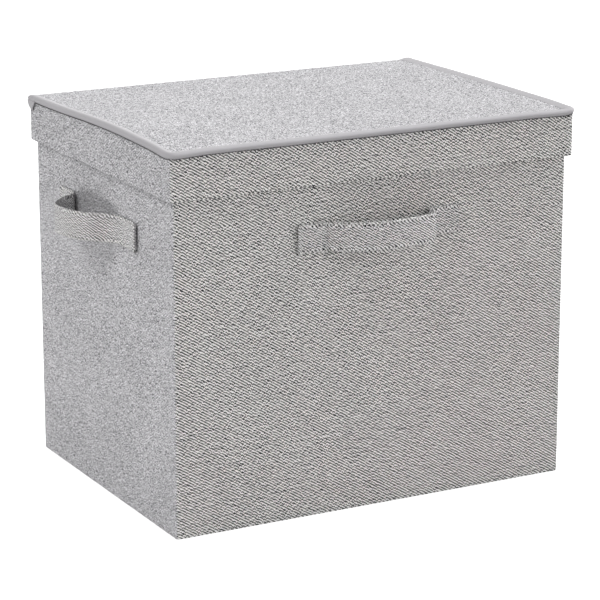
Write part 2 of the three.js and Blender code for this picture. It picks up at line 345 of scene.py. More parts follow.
@dataclass(frozen=True)
class RoundedCorner:
    """The plan of one side: straight, and rounded off to the mitre at both ends."""

    half_length: float
    distance: float
    radius: float

    @property
    def straight_share(self) -> float:
        """The share of the half side that is straight."""
        straight = self.half_length - self.radius
        return straight / (straight + self.radius * math.pi / 4)

    def shares(self, spacing: float) -> list[np.ndarray]:
        """Divides the side into one round, the straight part and the other round.

        Args:
            spacing: The longest step on the straight part.

        Returns:
            The shares of the three stretches, from 1 at one mitre to -1 at the other.
        """
        corner = np.linspace(1, self.straight_share, CORNER_POINTS)
        straight = even_steps(1, -1, spacing / self.half_length)
        return [corner, straight[np.abs(straight) < self.straight_share], -corner[::-1]]

    def at(self, share: np.ndarray, depth: Places) -> tuple[np.ndarray, np.ndarray]:
        """Places points on the plan.

        Args:
            share: From -1 at one mitre to 1 at the other.
            depth: Depths in from the side's outer face.

        Returns:
            Distances across and out, in the side's own frame.
        """
        reach = np.abs(share)
        straight = self.half_length - self.radius
        inner_radius = np.maximum(self.radius - depth, 0)
        angle = np.clip((reach - self.straight_share) / (1 - self.straight_share), 0, 1) * math.pi / 4
        along = np.minimum(reach / self.straight_share, 1) * straight + inner_radius * np.sin(angle)
        across = np.where(depth < self.radius, along, reach * (self.half_length - depth))
        out = self.distance - depth - np.where(depth < self.radius, inner_radius * (1 - np.cos(angle)), 0)
        return np.sign(share) * across, out


def add_object(name: str, data: bpy.types.ID) -> Piece:
    """Makes an object and links it to the scene.

    Args:
        name: The object's name.
        data: Its mesh, light or camera.

    Returns:
        The object.
    """
    made = bpy.data.objects.new(name, data)
    bpy.context.scene.collection.objects.link(made)
    return made


def outward_headings(points: np.ndarray) -> np.ndarray:
    """Finds the ways out of a grid at the points of its border.

    Args:
        points: The grid.

    Returns:
        The way out at each border point, and zero inside.
    """
    along_u, along_v = (unit(np.gradient(points, axis=axis)) for axis in (0, 1))
    outward = np.zeros(points.shape)
    outward[0] -= along_u[0]
    outward[-1] += along_u[-1]
    outward[:, 0] -= along_v[:, 0]
    outward[:, -1] += along_v[:, -1]
    return outward


def cloth_solid(
    name: str,
    middle: np.ndarray,
    uv: np.ndarray,
    thickness: Places,
    edge: float = SOFT_EDGE,
    edge_steps: int = 1,
) -> Piece:
    """Makes a closed, smooth sheet of cloth from the grid of its middle surface.

    Args:
        name: The object's name.
        middle: The grid's points; its outer face is on the side of u cross v.
        uv: The flat place of each point.
        thickness: One thickness, or one for each point.
        edge: How far the rounded edge stands out from the grid's border.
        edge_steps: How many rows of points round the edge.

    Returns:
        The object, linked to the scene.
    """
    rows, columns = middle.shape[:2]
    normal = unit(np.cross(np.gradient(middle, axis=0), np.gradient(middle, axis=1)))
    half = np.broadcast_to(np.asarray(thickness, float), (rows, columns))[..., None] / 2
    outward, flat_outward = outward_headings(middle), outward_headings(uv)
    count = rows * columns
    number = np.arange(count).reshape(rows, columns)
    border = np.concatenate([number[0], number[1:, -1], number[-1, -2::-1], number[-2:0:-1, 0]])
    layers = [(middle + normal * half).reshape(-1, 3), (middle - normal * half).reshape(-1, 3)]
    flat_layers = [uv.reshape(-1, 2)] * 2
    loops = [border]
    for step in range(1, edge_steps + 1):
        angle = math.pi * step / (edge_steps + 1)
        rim = middle + normal * half * math.cos(angle) + outward * edge * math.sin(angle)
        layers.append(rim.reshape(-1, 3)[border])
        flat_layers.append((uv + flat_outward * edge * angle).reshape(-1, 2)[border])
        loops.append(2 * count + (step - 1) * len(border) + np.arange(len(border)))
    loops.append(border + count)
    quads = [number[:-1, :-1], number[1:, :-1], number[1:, 1:], number[:-1, 1:]]
    outer = np.stack([corner.ravel() for corner in quads], axis=1)
    faces = [outer, outer[:, [0, 3, 2, 1]] + count]
    for upper, lower in zip(loops, loops[1:]):
        faces.append(np.stack([upper, np.roll(upper, -1), np.roll(lower, -1), lower], axis=1))
    mesh = bpy.data.meshes.new(name)
    mesh.from_pydata((np.concatenate(layers) * METRES_PER_MM).tolist(), [], np.concatenate(faces).tolist())
    mesh.update()
    corners = np.zeros(len(mesh.loops), np.int32)
    mesh.loops.foreach_get("vertex_index", corners)
    flat = np.concatenate(flat_layers)[corners] * METRES_PER_MM
    mesh.uv_layers.new(name=CLOTH_UV).data.foreach_set("uv", flat.astype(np.float32).ravel())
    mesh.polygons.foreach_set("use_smooth", [True] * len(mesh.polygons))
    mesh.set_sharp_from_angle(angle=math.radians(SHARP_DEGREES))
    return add_object(name, mesh)


# Finishes


def linear_colour(hex_code: str) -> tuple[float, float, float, float]:
    """Turns an sRGB hex colour, such as #a9a8a8, to linear red, green, blue and alpha.

    Args:
        hex_code: The colour.

    Returns:
        The linear values.
    """
    values = [int(hex_code[place : place + 2], 16) / 255 for place in (1, 3, 5)]
    red, green, blue = [
        value / 12.92 if value <= 0.04045 else ((value + 0.055) / 1.055) ** 2.4 for value in values
    ]
    return red, green, blue, 1.0


def add_node(
    tree: NodeTree,
    kind: str,
    inputs: dict | None = None,
    output: int | str = 0,
    **settings: object,
) -> NodeSocket | None:
    """Adds a node with its settings, values and links.

    Args:
        tree: The node tree.
        kind: The node's type.
        inputs: A value or another node's output for each input, by name or number.
        output: Which of the node's outputs to give back, by name or number.
        **settings: The node's own properties.

    Returns:
        That output, or None for a node that has none.
    """
    node = tree.nodes.new(kind)
    for key, value in settings.items():
        setattr(node, key, value)
    for key, value in (inputs or {}).items():
        if isinstance(value, NodeSocket):
            tree.links.new(value, node.inputs[key])
        else:
            node.inputs[key].default_value = value
    return node.outputs[output] if node.outputs else None


def start_material(name: str) -> tuple[bpy.types.Material, NodeTree]:
    """Makes an empty node material.

    Args:
        name: The material's name.

    Returns:
        The material and its node tree.
    """
    material = bpy.data.materials.new(name)
    material.use_nodes = True
    material.node_tree.nodes.clear()
    return material, material.node_tree


def lay_colour(
    tree: NodeTree,
    tone: NodeSocket,
    shades: tuple[Sequence[float], Sequence[float]],
    surface: dict,
    relief: dict | None = None,
) -> None:
    """Ends a material: mixes its two shades by the tone and gives it its surface and relief.

    Args:
        tree: The material's node tree.
        tone: From 0 for the dark shade to 1 for the light one.
        shades: The dark and the light shade, as linear colours.
        surface: The shader's other values: its roughness, gloss and sheen.
        relief: The height, strength and distance of its fine relief, where it has one.
    """
    # Inputs 6 and 7 of a Mix node are its two colours, and output 2 is their mix.
    mixed = add_node(tree, "ShaderNodeMix", {0: tone, 6: shades[0], 7: shades[1]}, 2, data_type="RGBA")
    inputs = {"Base Color": mixed, **surface}
    if relief:
        inputs["Normal"] = add_node(tree, "ShaderNodeBump", relief)
    shader = add_node(tree, "ShaderNodeBsdfPrincipled", inputs)
    add_node(tree, "ShaderNodeOutputMaterial", {"Surface": shader})


@dataclass(frozen=True)
class MarlTwill:
    """Light grey marl twill of polyester and cotton, woven and then bonded to a stiffener.

    Pale yarns cross near-black ones over two and under two, which draws fine slanting lines down to
    the right. The mixed fibres show as flecks along both yarns, and a few thick places as dark specks.
    The real yarns are about 0.5 mm apart and too fine to show, so the weave is drawn as coarse as it
    needs to be seen, and its flecks and specks with it.
    """

    name: str
    light: str = "#f6f5f3"
    dark: str = "#131314"
    yarn_pitch: float = 1.05
    pick_pitch: float = 0.66
    repeat: float = 4.0
    yarns_over: float = 2.0
    middle_tone: float = 0.5
    line_contrast: float = 1.0
    slip_chance: float = 0.25
    slip_picks: float = 4.0
    fleck: tuple[float, float] = (1.5, 1.3)
    fleck_contrast: float = 0.5
    speck: tuple[float, float] = (1.54, 1.4)
    speck_share: float = 0.0
    cloud_size: float = 60.0
    cloud_contrast: float = 0.14
    bump_height: float = 0.1

    def build(self) -> bpy.types.Material:
        """Makes the material.

        Returns:
            The material.
        """
        material, tree = start_material(self.name)
        place = add_node(tree, "ShaderNodeUVMap", uv_map=CLOTH_UV)
        over = self.weave(tree, place)
        lowest = self.middle_tone - self.line_contrast / 2
        line = add_node(
            tree, "ShaderNodeMath", {0: over, 1: self.line_contrast, 2: lowest}, operation="MULTIPLY_ADD"
        )
        fleck = self.cell_chance(tree, place, self.fleck)
        tone = add_node(
            tree, "ShaderNodeMath", {0: fleck, 1: self.fleck_contrast, 2: line}, operation="MULTIPLY_ADD"
        )
        cloud = add_node(
            tree,
            "ShaderNodeTexNoise",
            {"Vector": place, "Scale": MM_PER_METRE / self.cloud_size, "Detail": 3.0},
        )
        shift = -self.fleck_contrast / 2 - self.cloud_contrast / 2
        clouded = add_node(
            tree, "ShaderNodeMath", {0: cloud, 1: self.cloud_contrast, 2: shift}, operation="MULTIPLY_ADD"
        )
        plain = add_node(tree, "ShaderNodeMath", {0: tone, 1: clouded}, operation="ADD", use_clamp=True)
        chance = self.cell_chance(tree, place, self.speck)
        clear = add_node(tree, "ShaderNodeMath", {0: chance, 1: self.speck_share}, operation="GREATER_THAN")
        final = add_node(tree, "ShaderNodeMath", {0: plain, 1: clear}, operation="MULTIPLY")
        lay_colour(
            tree,
            final,
            (linear_colour(self.dark), linear_colour(self.light)),
            {"Roughness": 0.92, "Specular IOR Level": 0.2},
            {"Height": over, "Strength": 0.4, "Distance": self.bump_height * METRES_PER_MM},
        )
        return material

    def weave(self, tree: NodeTree, place: NodeSocket) -> NodeSocket:
        """Draws the twill: 1 where the pale yarn lies on top, and 0 where the dark one does.

        Args:
            tree: The material's node tree.
            place: Where on the flat cloth a point lies.

        Returns:
            The output that holds the drawing.
        """
        whole = self.cell(tree, place, (self.yarn_pitch, self.pick_pitch))
        index = add_node(tree, "ShaderNodeSeparateXYZ", {0: whole}).node.outputs
        step = add_node(tree, "ShaderNodeMath", {0: index["X"], 1: index["Y"]}, operation="ADD")
        stretch = (self.yarn_pitch, self.pick_pitch * self.slip_picks)
        chance = self.cell_chance(tree, place, stretch)
        slipped = add_node(tree, "ShaderNodeMath", {0: chance, 1: self.slip_chance}, operation="LESS_THAN")
        shifted = add_node(tree, "ShaderNodeMath", {0: step, 1: slipped}, operation="ADD")
        turn = add_node(tree, "ShaderNodeMath", {0: shifted, 1: self.repeat}, operation="FLOORED_MODULO")
        return add_node(tree, "ShaderNodeMath", {0: turn, 1: self.yarns_over - 0.5}, operation="LESS_THAN")

    @staticmethod
    def cell(tree: NodeTree, place: NodeSocket, size: tuple[float, float]) -> NodeSocket:
        """Numbers the cells of the cloth.

        Args:
            tree: The material's node tree.
            place: Where on the flat cloth a point lies.
            size: The width and height of a cell.

        Returns:
            The output that holds the numbers of a point's cell.
        """
        scale = (MM_PER_METRE / size[0], MM_PER_METRE / size[1], 0)
        cells = add_node(tree, "ShaderNodeVectorMath", {0: place, 1: scale}, operation="MULTIPLY")
        return add_node(tree, "ShaderNodeVectorMath", {0: cells}, operation="FLOOR")

    @classmethod
    def cell_chance(cls, tree: NodeTree, place: NodeSocket, size: tuple[float, float]) -> NodeSocket:
        """Gives each cell of the cloth, as cell numbers them, its own chance from 0 to 1."""
        whole = cls.cell(tree, place, size)
        return add_node(tree, "ShaderNodeTexWhiteNoise", {"Vector": whole}, noise_dimensions="2D")


@dataclass(frozen=True)
class SoftPlainCloth:
    """A plain cloth of one tone, with a fine grain and a slow cloudiness.

    The tape is a satin-faced polyester, which looks even and faintly glossy. The lining is a
    non-woven of pressed fibres, which looks matt and cloudy.
    """

    name: str
    colour: str
    shade: str
    roughness: float
    sheen: float
    grain: float
    grain_contrast: float
    bump_height: float
    cloud_size: float = 40.0

    def build(self) -> bpy.types.Material:
        """Makes the material.

        Returns:
            The material.
        """
        material, tree = start_material(self.name)
        place = add_node(tree, "ShaderNodeUVMap", uv_map=CLOTH_UV)
        fine, slow = [
            add_node(
                tree, "ShaderNodeTexNoise", {"Vector": place, "Scale": MM_PER_METRE / size, "Detail": detail}
            )
            for size, detail in ((self.grain, 4.0), (self.cloud_size, 2.0))
        ]
        both = add_node(tree, "ShaderNodeMath", {0: fine, 1: slow}, operation="ADD")
        tone = add_node(
            tree,
            "ShaderNodeMath",
            {0: both, 1: self.grain_contrast, 2: 0.5 - self.grain_contrast},
            operation="MULTIPLY_ADD",
            use_clamp=True,
        )
        lay_colour(
            tree,
            tone,
            (linear_colour(self.shade), linear_colour(self.colour)),
            {"Roughness": self.roughness, "Specular IOR Level": 0.3, "Sheen Weight": self.sheen},
            {"Height": fine, "Strength": 0.6, "Distance": self.bump_height * METRES_PER_MM},
        )
        return material


@dataclass(frozen=True)
class GreyBoard:
    """Grey board of pressed paper, matt, whose short fibres show as specks."""

    name: str = "grey_board_pressed"
    colour: str = "#a89d8e"
    shade: str = "#857a6c"
    fibre: float = 1.5
    bump_height: float = 0.1

    def build(self) -> bpy.types.Material:
        """Makes the material.

        Returns:
            The material.
        """
        material, tree = start_material(self.name)
        place = add_node(tree, "ShaderNodeTexCoord", output="Object")
        fibres = add_node(
            tree,
            "ShaderNodeTexNoise",
            {"Vector": place, "Scale": MM_PER_METRE / self.fibre, "Detail": 5.0, "Roughness": 0.7},
        )
        lay_colour(
            tree,
            fibres,
            (linear_colour(self.shade), linear_colour(self.colour)),
            {"Roughness": 0.9, "Specular IOR Level": 0.25},
            {"Height": fibres, "Strength": 0.4, "Distance": self.bump_height * METRES_PER_MM},
        )
        return material


@dataclass(frozen=True)
class SewingThread:
    """Spun polyester sewing thread, whose twist shades it, or the near-black dot of painted shade that stands
    for the dent its needle leaves.
    """

    name: str
    colour: str
    twists_per_metre: float = 1500.0
    shade_share: float = 0.75

    def build(self) -> bpy.types.Material:
        """Makes the material.

        Returns:
            The material.
        """
        material, tree = start_material(self.name)
        place = add_node(tree, "ShaderNodeTexCoord", output="Object")
        twist = add_node(tree, "ShaderNodeTexNoise", {"Vector": place, "Scale": self.twists_per_metre})
        light = linear_colour(self.colour)
        dark = (*[value * self.shade_share for value in light[:3]], 1.0)
        lay_colour(tree, twist, (dark, light), {"Roughness": 0.6})
        return material


class Finish(Enum):
    """The finishes of the pieces, each with its slot in the record and what it is."""

    MARL = ("marl_cloth", "marl twill, its lines clear")
    SIDE_MARL = ("marl_cloth", "marl twill, cut across")
    TOP_MARL = ("marl_cloth", "marl twill, seen along")
    STRAP = ("strap_cloth", "marl twill, folded")
    LINING = ("lining_cloth", "non-woven lining")
    TAPE = ("binding_tape", "satin tape")
    BOARD = ("stiff_board", "grey board")

    @property
    def slot(self) -> str:
        """The record's slot that the finish belongs to."""
        return self.value[0]


# Where the twill is cut across, its lines are faint and the flecks of its mixed fibres show.
CALM_MARL = MarlTwill(
    name="marl_twill_woven_side",
    light="#efeef1",
    dark="#333235",
    middle_tone=0.48,
    line_contrast=0.42,
    fleck=(1.15, 0.68),
    fleck_contrast=0.7,
    speck_share=0.004,
)


class Wardrobe:
    """Every material of the object, made once."""

    def __init__(self) -> None:
        """Makes the materials."""
        cloths = {
            Finish.MARL: MarlTwill("marl_twill_woven"),
            Finish.SIDE_MARL: CALM_MARL,
            Finish.TOP_MARL: replace(
                CALM_MARL, name="marl_twill_woven_top", fleck=(0.8, 1.9), fleck_contrast=0.56
            ),
            # The strap is folded from a slightly finer twill.
            Finish.STRAP: MarlTwill(
                "marl_twill_strap_woven", light="#f3f2f2", dark="#121213", yarn_pitch=0.95, pick_pitch=0.58
            ),
            Finish.LINING: SoftPlainCloth(
                name="non_woven_lining_pressed",
                colour="#bcbbba",
                shade="#a3a2a1",
                roughness=0.9,
                sheen=0.1,
                grain=1.6,
                grain_contrast=0.7,
                bump_height=0.15,
            ),
            Finish.TAPE: SoftPlainCloth(
                name="satin_tape_woven",
                colour="#adabae",
                shade="#a3a1a4",
                roughness=0.62,
                sheen=0.15,
                grain=0.9,
                grain_contrast=0.5,
                bump_height=0.03,
            ),
            Finish.BOARD: GreyBoard(),
        }
        self.by_finish = {finish: cloth.build() for finish, cloth in cloths.items()}
        self.thread = SewingThread("sewing_thread_spun", "#eceae8").build()
        # The needle hole's near-black dots are painted shade: they stand for the shade in the holes that the
        # needle leaves.
        self.hole_shade = SewingThread("needle_hole_painted_shade", "#454446").build()
        # The near-black edge thread is painted shadow: it draws the shade line under the tape's edge.
        self.shadow_line_thread = SewingThread("painted_shadow_thread_spun", "#3a393b").build()

    def dress(self, piece: Piece, finish: Finish) -> None:
        """Gives a piece its material.

        Args:
            piece: The piece.
            finish: The finish that it gets.
        """
        piece.data.materials.clear()
        piece.data.materials.append(self.by_finish[finish])


# Stitching


@dataclass(frozen=True)
class Stitching:
    """Lock stitch along seams: threads end to end, with a needle hole between them, drawn as a dark dot of
    painted shade.
    """

    pitch: float = 3.1
    length: float = 2.2
    radius: float = 0.46
    hole_radius: float = 0.38
    segments: int = 6
    rings: int = 4

    def tree(self) -> bpy.types.GeometryNodeTree:
        """Makes the tree that lays stitches along the edges of a mesh.

        Returns:
            The tree, with named inputs for the sizes and materials.
        """
        tree = bpy.data.node_groups.new("lock_stitches", "GeometryNodeTree")
        sockets = tree.interface
        sockets.new_socket("Geometry", in_out="INPUT", socket_type="NodeSocketGeometry")
        for name in ("Pitch", "Stitch length", "Thread radius", "Hole radius"):
            sockets.new_socket(name, in_out="INPUT", socket_type="NodeSocketFloat")
        for name in ("Thread", "Needle hole shade"):
            sockets.new_socket(name, in_out="INPUT", socket_type="NodeSocketMaterial")
        sockets.new_socket("Geometry", in_out="OUTPUT", socket_type="NodeSocketGeometry")
        given = add_node(tree, "NodeGroupInput").node.outputs
        seam = add_node(tree, "GeometryNodeMeshToCurve", {"Mesh": given["Geometry"]})
        points = add_node(
            tree, "GeometryNodeResampleCurve", {"Curve": seam, "Length": given["Pitch"]}, mode="LENGTH"
        )
        half, half_pitch = [
            add_node(tree, "ShaderNodeMath", {0: given[name], 1: 0.5}, operation="MULTIPLY")
            for name in ("Stitch length", "Pitch")
        ]
        ball, small = [
            add_node(
                tree,
                "GeometryNodeMeshUVSphere",
                {"Segments": self.segments, "Rings": self.rings, "Radius": radius},
            )
            for radius in (1.0, given["Hole radius"])
        ]
        radius = given["Thread radius"]
        stretch = add_node(tree, "ShaderNodeCombineXYZ", {0: radius, 1: radius, 2: half})
        thread = add_node(tree, "GeometryNodeTransform", {"Geometry": ball, "Scale": stretch})
        # The small dark ball beside each stitch is painted shade: it stands for the shade in the needle hole.
        beside = add_node(tree, "ShaderNodeCombineXYZ", {2: half_pitch})
        hole_shade_dot = add_node(tree, "GeometryNodeTransform", {"Geometry": small, "Translation": beside})
        tangent = add_node(tree, "GeometryNodeInputTangent")
        heading = add_node(tree, "FunctionNodeAlignRotationToVector", {"Vector": tangent}, axis="Z")
        sewn = add_node(tree, "GeometryNodeJoinGeometry")
        for shape, material in ((thread, "Thread"), (hole_shade_dot, "Needle hole shade")):
            smooth = add_node(tree, "GeometryNodeSetShadeSmooth", {"Geometry": shape})
            laid = add_node(
                tree,
                "GeometryNodeInstanceOnPoints",
                {"Points": points, "Instance": smooth, "Rotation": heading},
            )
            real = add_node(tree, "GeometryNodeRealizeInstances", {"Geometry": laid})
            dressed = add_node(
                tree, "GeometryNodeSetMaterial", {"Geometry": real, "Material": given[material]}
            )
            tree.links.new(dressed, sewn.node.inputs[0])
        add_node(tree, "NodeGroupOutput", {"Geometry": sewn})
        return tree


class SewingMachine:
    """Sews seams: turns paths into stitches with one shared tree."""

    def __init__(self, wardrobe: Wardrobe) -> None:
        """Makes the shared tree.

        Args:
            wardrobe: The materials, with the threads among them.
        """
        self.wardrobe = wardrobe
        self.style = Stitching()
        self.tree = self.style.tree()

    def sew(self, name: str, seams: Sequence[np.ndarray], thread: bpy.types.Material | None = None) -> Piece:
        """Sews stitches along seams.

        Args:
            name: The name of the piece that holds the stitches.
            seams: Paths, each with one point a row, in millimetres.
            thread: The thread, where it isn't the usual one.

        Returns:
            A plain mesh of all the stitches.
        """
        vertices: list[list[float]] = []
        edges: list[tuple[int, int]] = []
        for seam in seams:
            start = len(vertices)
            vertices += (seam * METRES_PER_MM).tolist()
            edges += [(start + place, start + place + 1) for place in range(len(seam) - 1)]
        guide = bpy.data.meshes.new(name + "_guide")
        guide.from_pydata(vertices, edges, [])
        piece = add_object(name, guide)
        modifier = piece.modifiers.new("stitches", "NODES")
        modifier.node_group = self.tree
        values = {
            "Pitch": self.style.pitch * METRES_PER_MM,
            "Stitch length": self.style.length * METRES_PER_MM,
            "Thread radius": self.style.radius * METRES_PER_MM,
            "Hole radius": self.style.hole_radius * METRES_PER_MM,
            "Thread": thread or self.wardrobe.thread,
            "Needle hole shade": self.wardrobe.hole_shade,
        }
        for socket in self.tree.interface.items_tree:
            if socket.in_out == "INPUT" and socket.name in values:
                modifier[socket.identifier] = values[socket.name]
        bpy.context.view_layer.update()
        evaluated = piece.evaluated_get(bpy.context.evaluated_depsgraph_get())
        stitched = bpy.data.meshes.new_from_object(evaluated)
        piece.modifiers.clear()
        piece.data = stitched
        bpy.data.meshes.remove(guide)
        return piece


# What every sewn part shares


@dataclass
class SewnPart:
    """A sewn part of the box, with the box's sizes and the materials that it is made of."""

    sizes: BoxSizes
    wardrobe: Wardrobe


# The bin


@dataclass
class BinCover(SewnPart):
    """The outer cloth of the four walls, turned over the rim and hemmed inside, and the bottom cloth."""

    machine: SewingMachine
    hem_drop: float = 20.0
    bottom_turn: float = 2.2
    bottom_radius: float = 1.3
    rim_radius: float = 1.7
    spacing: float = 7.0
    bottom_spacing: float = 14.0
    relief: SoftRelief = SoftRelief(3, 0.45, 120.0)
    relief_start: float = 2.0
    relief_full: float = 40.0
    relief_fade: float = 30.0
    relief_end_power: int = 12
    groove_depth: float = 0.35
    groove_width: float = 2.0
    rim_stitch_drop: float = 5.0
    rim_stitch_inset: float = 6.0
    rim_stitch_points: int = 9
    weave_shift: float = 7.3

    def section(self) -> np.ndarray:
        """Traces the cloth's middle line, from under the box to the end of the hem.

        Returns:
            The line's points, each with its depth in from the wall's face and its level.
        """
        half = self.sizes.cloth / 2
        inner = self.sizes.rim_inner_depth - half
        top = self.sizes.rim_top - half
        hem = self.sizes.rim_top - self.hem_drop
        corners = [(self.bottom_turn, half), (half, half), (half, top), (inner, top), (inner, hem)]
        radii = [self.bottom_radius - half, self.rim_radius - half, self.rim_radius - half]
        return rounded_path(corners, radii, self.spacing)

    def plan(self, side: Side) -> RoundedCorner:
        """Gives the plan of one wall."""
        return RoundedCorner(*self.sizes.wall_reach(side), self.sizes.corner_radius)

    def wall(self, side: Side) -> Piece:
        """Makes the cloth of one wall.

        Args:
            side: Which wall.

        Returns:
            The cloth.
        """
        plan = self.plan(side)
        section = self.section()
        climb = run_lengths(section)
        share = np.concatenate(plan.shares(self.spacing))[:, None]
        along = -share * plan.half_length
        level = section[None, :, 1]
        outside = section[None, :, 0] < self.sizes.cloth
        ends = 1 - np.abs(share) ** self.relief_end_power
        low_fade = smooth_step(level, self.relief_start, self.relief_full)
        puff = self.relief.at(along, level, side.value) * low_fade * outside * ends
        skirt_bottom = self.sizes.skirt_bottom
        puff = puff * (1 - smooth_step(level, skirt_bottom - self.relief_fade, skirt_bottom))
        from_corner = (1 - np.abs(share)) * plan.half_length
        groove = self.groove_depth * (1 - smooth_step(from_corner, 0, self.groove_width)) * outside
        across, out = plan.at(share, section[None, :, 0] - puff + groove)
        flat = grid(along + side.value * self.weave_shift, climb[None, :])
        name = f"{side.label}_wall_cloth"
        piece = cloth_solid(name, side.place(across, out, level), flat, self.sizes.cloth)
        self.wardrobe.dress(piece, side.cloth_finish)
        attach(piece, "bin")
        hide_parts(f"{side.label}_outer_cloth")
        return piece

    def bottom(self) -> Piece:
        """Makes the cloth under the box.

        Returns:
            The cloth.
        """
        inset = self.bottom_turn + self.sizes.layer_gap
        reach_x = self.sizes.half_width - inset
        reach_y = self.sizes.half_depth - inset
        x = even_steps(-reach_x, reach_x, self.bottom_spacing)[:, None]
        y = even_steps(reach_y, -reach_y, self.bottom_spacing)[None, :]
        middle = grid(x, y, self.sizes.cloth / 2)
        piece = cloth_solid("bottom_sheet", middle, middle[..., :2], self.sizes.cloth)
        self.wardrobe.dress(piece, Finish.MARL)
        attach(piece, "bin")
        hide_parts("bottom_cloth")
        return piece

    def rim_stitches(self) -> Piece:
        """Sews the row of stitches that holds the rim's hem.

        Returns:
            The stitches, outside and inside.
        """
        seams = []
        level = self.sizes.rim_top - self.rim_stitch_drop
        for side in Side:
            plan = self.plan(side)
            reach = 1 - self.rim_stitch_inset / plan.half_length
            share = np.linspace(-1, 1, self.rim_stitch_points) * reach
            for depth in (0.0, self.sizes.rim_inner_depth):
                seams.append(side.place(*plan.at(share, depth), level))
        piece = self.machine.sew("rim_stitches", seams)
        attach(piece, "bin")
        return piece

    def build(self) -> list[Piece]:
        """Makes the cover."""
        return [*[self.wall(side) for side in Side], self.bottom(), self.rim_stitches()]


@dataclass
class BinLining(SewnPart):
    """The lining of the walls and the floor."""

    spacing: float = 9.0
    relief: SoftRelief = SoftRelief(17, 0.25, 70.0)
    weave_shift: float = 3.1

    def wall(self, side: Side) -> Piece:
        """Makes the lining of one wall.

        Args:
            side: Which wall.

        Returns:
            The lining.
        """
        half_length, distance = self.sizes.wall_reach(side)
        depth = self.sizes.lining_depth + self.sizes.lining / 2
        reach = half_length - self.sizes.rim_inner_depth + self.sizes.cloth
        across = even_steps(-reach, reach, self.spacing)[:, None]
        low = node_box(f"{side.label}_lining")[0][2]
        level = even_steps(low, self.sizes.lining_top, self.spacing)[None, :]
        out = distance - depth - self.relief.at(across, level, side.value)
        middle = side.place(across, out, level)
        flat = grid(across + side.value * self.weave_shift, level)
        piece = cloth_solid(f"{side.label}_wall_lining", middle, flat, self.sizes.lining)
        self.wardrobe.dress(piece, Finish.LINING)
        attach(piece, "bin")
        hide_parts(f"{side.label}_lining")
        return piece

    def floor(self) -> Piece:
        """Makes the lining of the floor.

        Returns:
            The lining.
        """
        low, high = node_box("floor_lining")
        x = even_steps(low[0], high[0], self.spacing)[:, None]
        y = even_steps(low[1], high[1], self.spacing)[None, :]
        middle = grid(x, y, (low[2] + high[2]) / 2)
        piece = cloth_solid("floor_sheet", middle, middle[..., :2], self.sizes.lining, edge=CUT_EDGE)
        self.wardrobe.dress(piece, Finish.LINING)
        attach(piece, "bin")
        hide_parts("floor_lining")
        return piece

    def build(self) -> list[Piece]:
        """Makes the lining."""
        return [*[self.wall(side) for side in Side], self.floor()]


@dataclass
class BaseInsert(SewnPart):
    """The sleeve of the loose base board, open along the back edge."""

    spacing: float = 9.0
    fold_share: float = 0.9
    seam_width: float = 1.1
    seam_points: int = 5
    seam_thinness: float = 0.06

    def build(self) -> list[Piece]:
        """Makes the sleeve, which closes on the board at its two side seams.

        Returns:
            The sleeve.
        """
        low, high = node_box("base_insert_sleeve")
        board_low, board_high = node_box("base_insert_board")
        half = self.sizes.lining / 2
        middle_level = (low[2] + high[2]) / 2
        reach = (high[2] - low[2]) / 2 - half
        front, under, over = low[1] + half, middle_level - reach, middle_level + reach
        section = rounded_path(
            [(high[1], under), (front, under), (front, over), (high[1], over)],
            [reach * self.fold_share] * 2,
            self.spacing,
        )
        climb = run_lengths(section)
        inner = even_steps(board_low[0], board_high[0], self.spacing)
        closing = np.linspace(0, 1, self.seam_points)[1:] * self.seam_width
        x = np.concatenate([inner[0] - closing[::-1], inner, inner[-1] + closing])[:, None]
        beyond = np.maximum(np.maximum(inner[0] - x, x - inner[-1]), 0) / self.seam_width
        squeeze = np.sqrt(np.maximum(1 - beyond**2, self.seam_thinness))
        level = middle_level + (section[None, :, 1] - middle_level) * squeeze
        middle = grid(x, section[None, :, 0], level)[:, ::-1]
        flat = grid(x, climb[None, :])
        piece = cloth_solid("base_board_sleeve", middle, flat, self.sizes.lining, edge=CUT_EDGE)
        self.wardrobe.dress(piece, Finish.LINING)
        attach(piece, "base_insert")
        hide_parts("base_insert_sleeve")
        return [piece]


# Handles

# The outer face of each bow seen from above: places along the wall, and distances out from it.
FRONT_BOW = (
    (-52, 3.2), (-46, 9), (-36, 17), (-27, 22), (-15, 25.5), (-3, 27), (11, 27),
    (26, 25.8), (39, 23.8), (46.5, 21.4), (49.6, 18.4), (50.6, 13.5), (51.8, 7),
)
SIDE_BOW = (
    (-44, 3.2), (-38, 6), (-31, 12), (-26, 19), (-18, 26), (-9.6, 30.5), (1.8, 34), (14, 36),
    (23, 35), (30, 31.2), (38, 24), (44, 18), (46.6, 13), (49.5, 7),
)


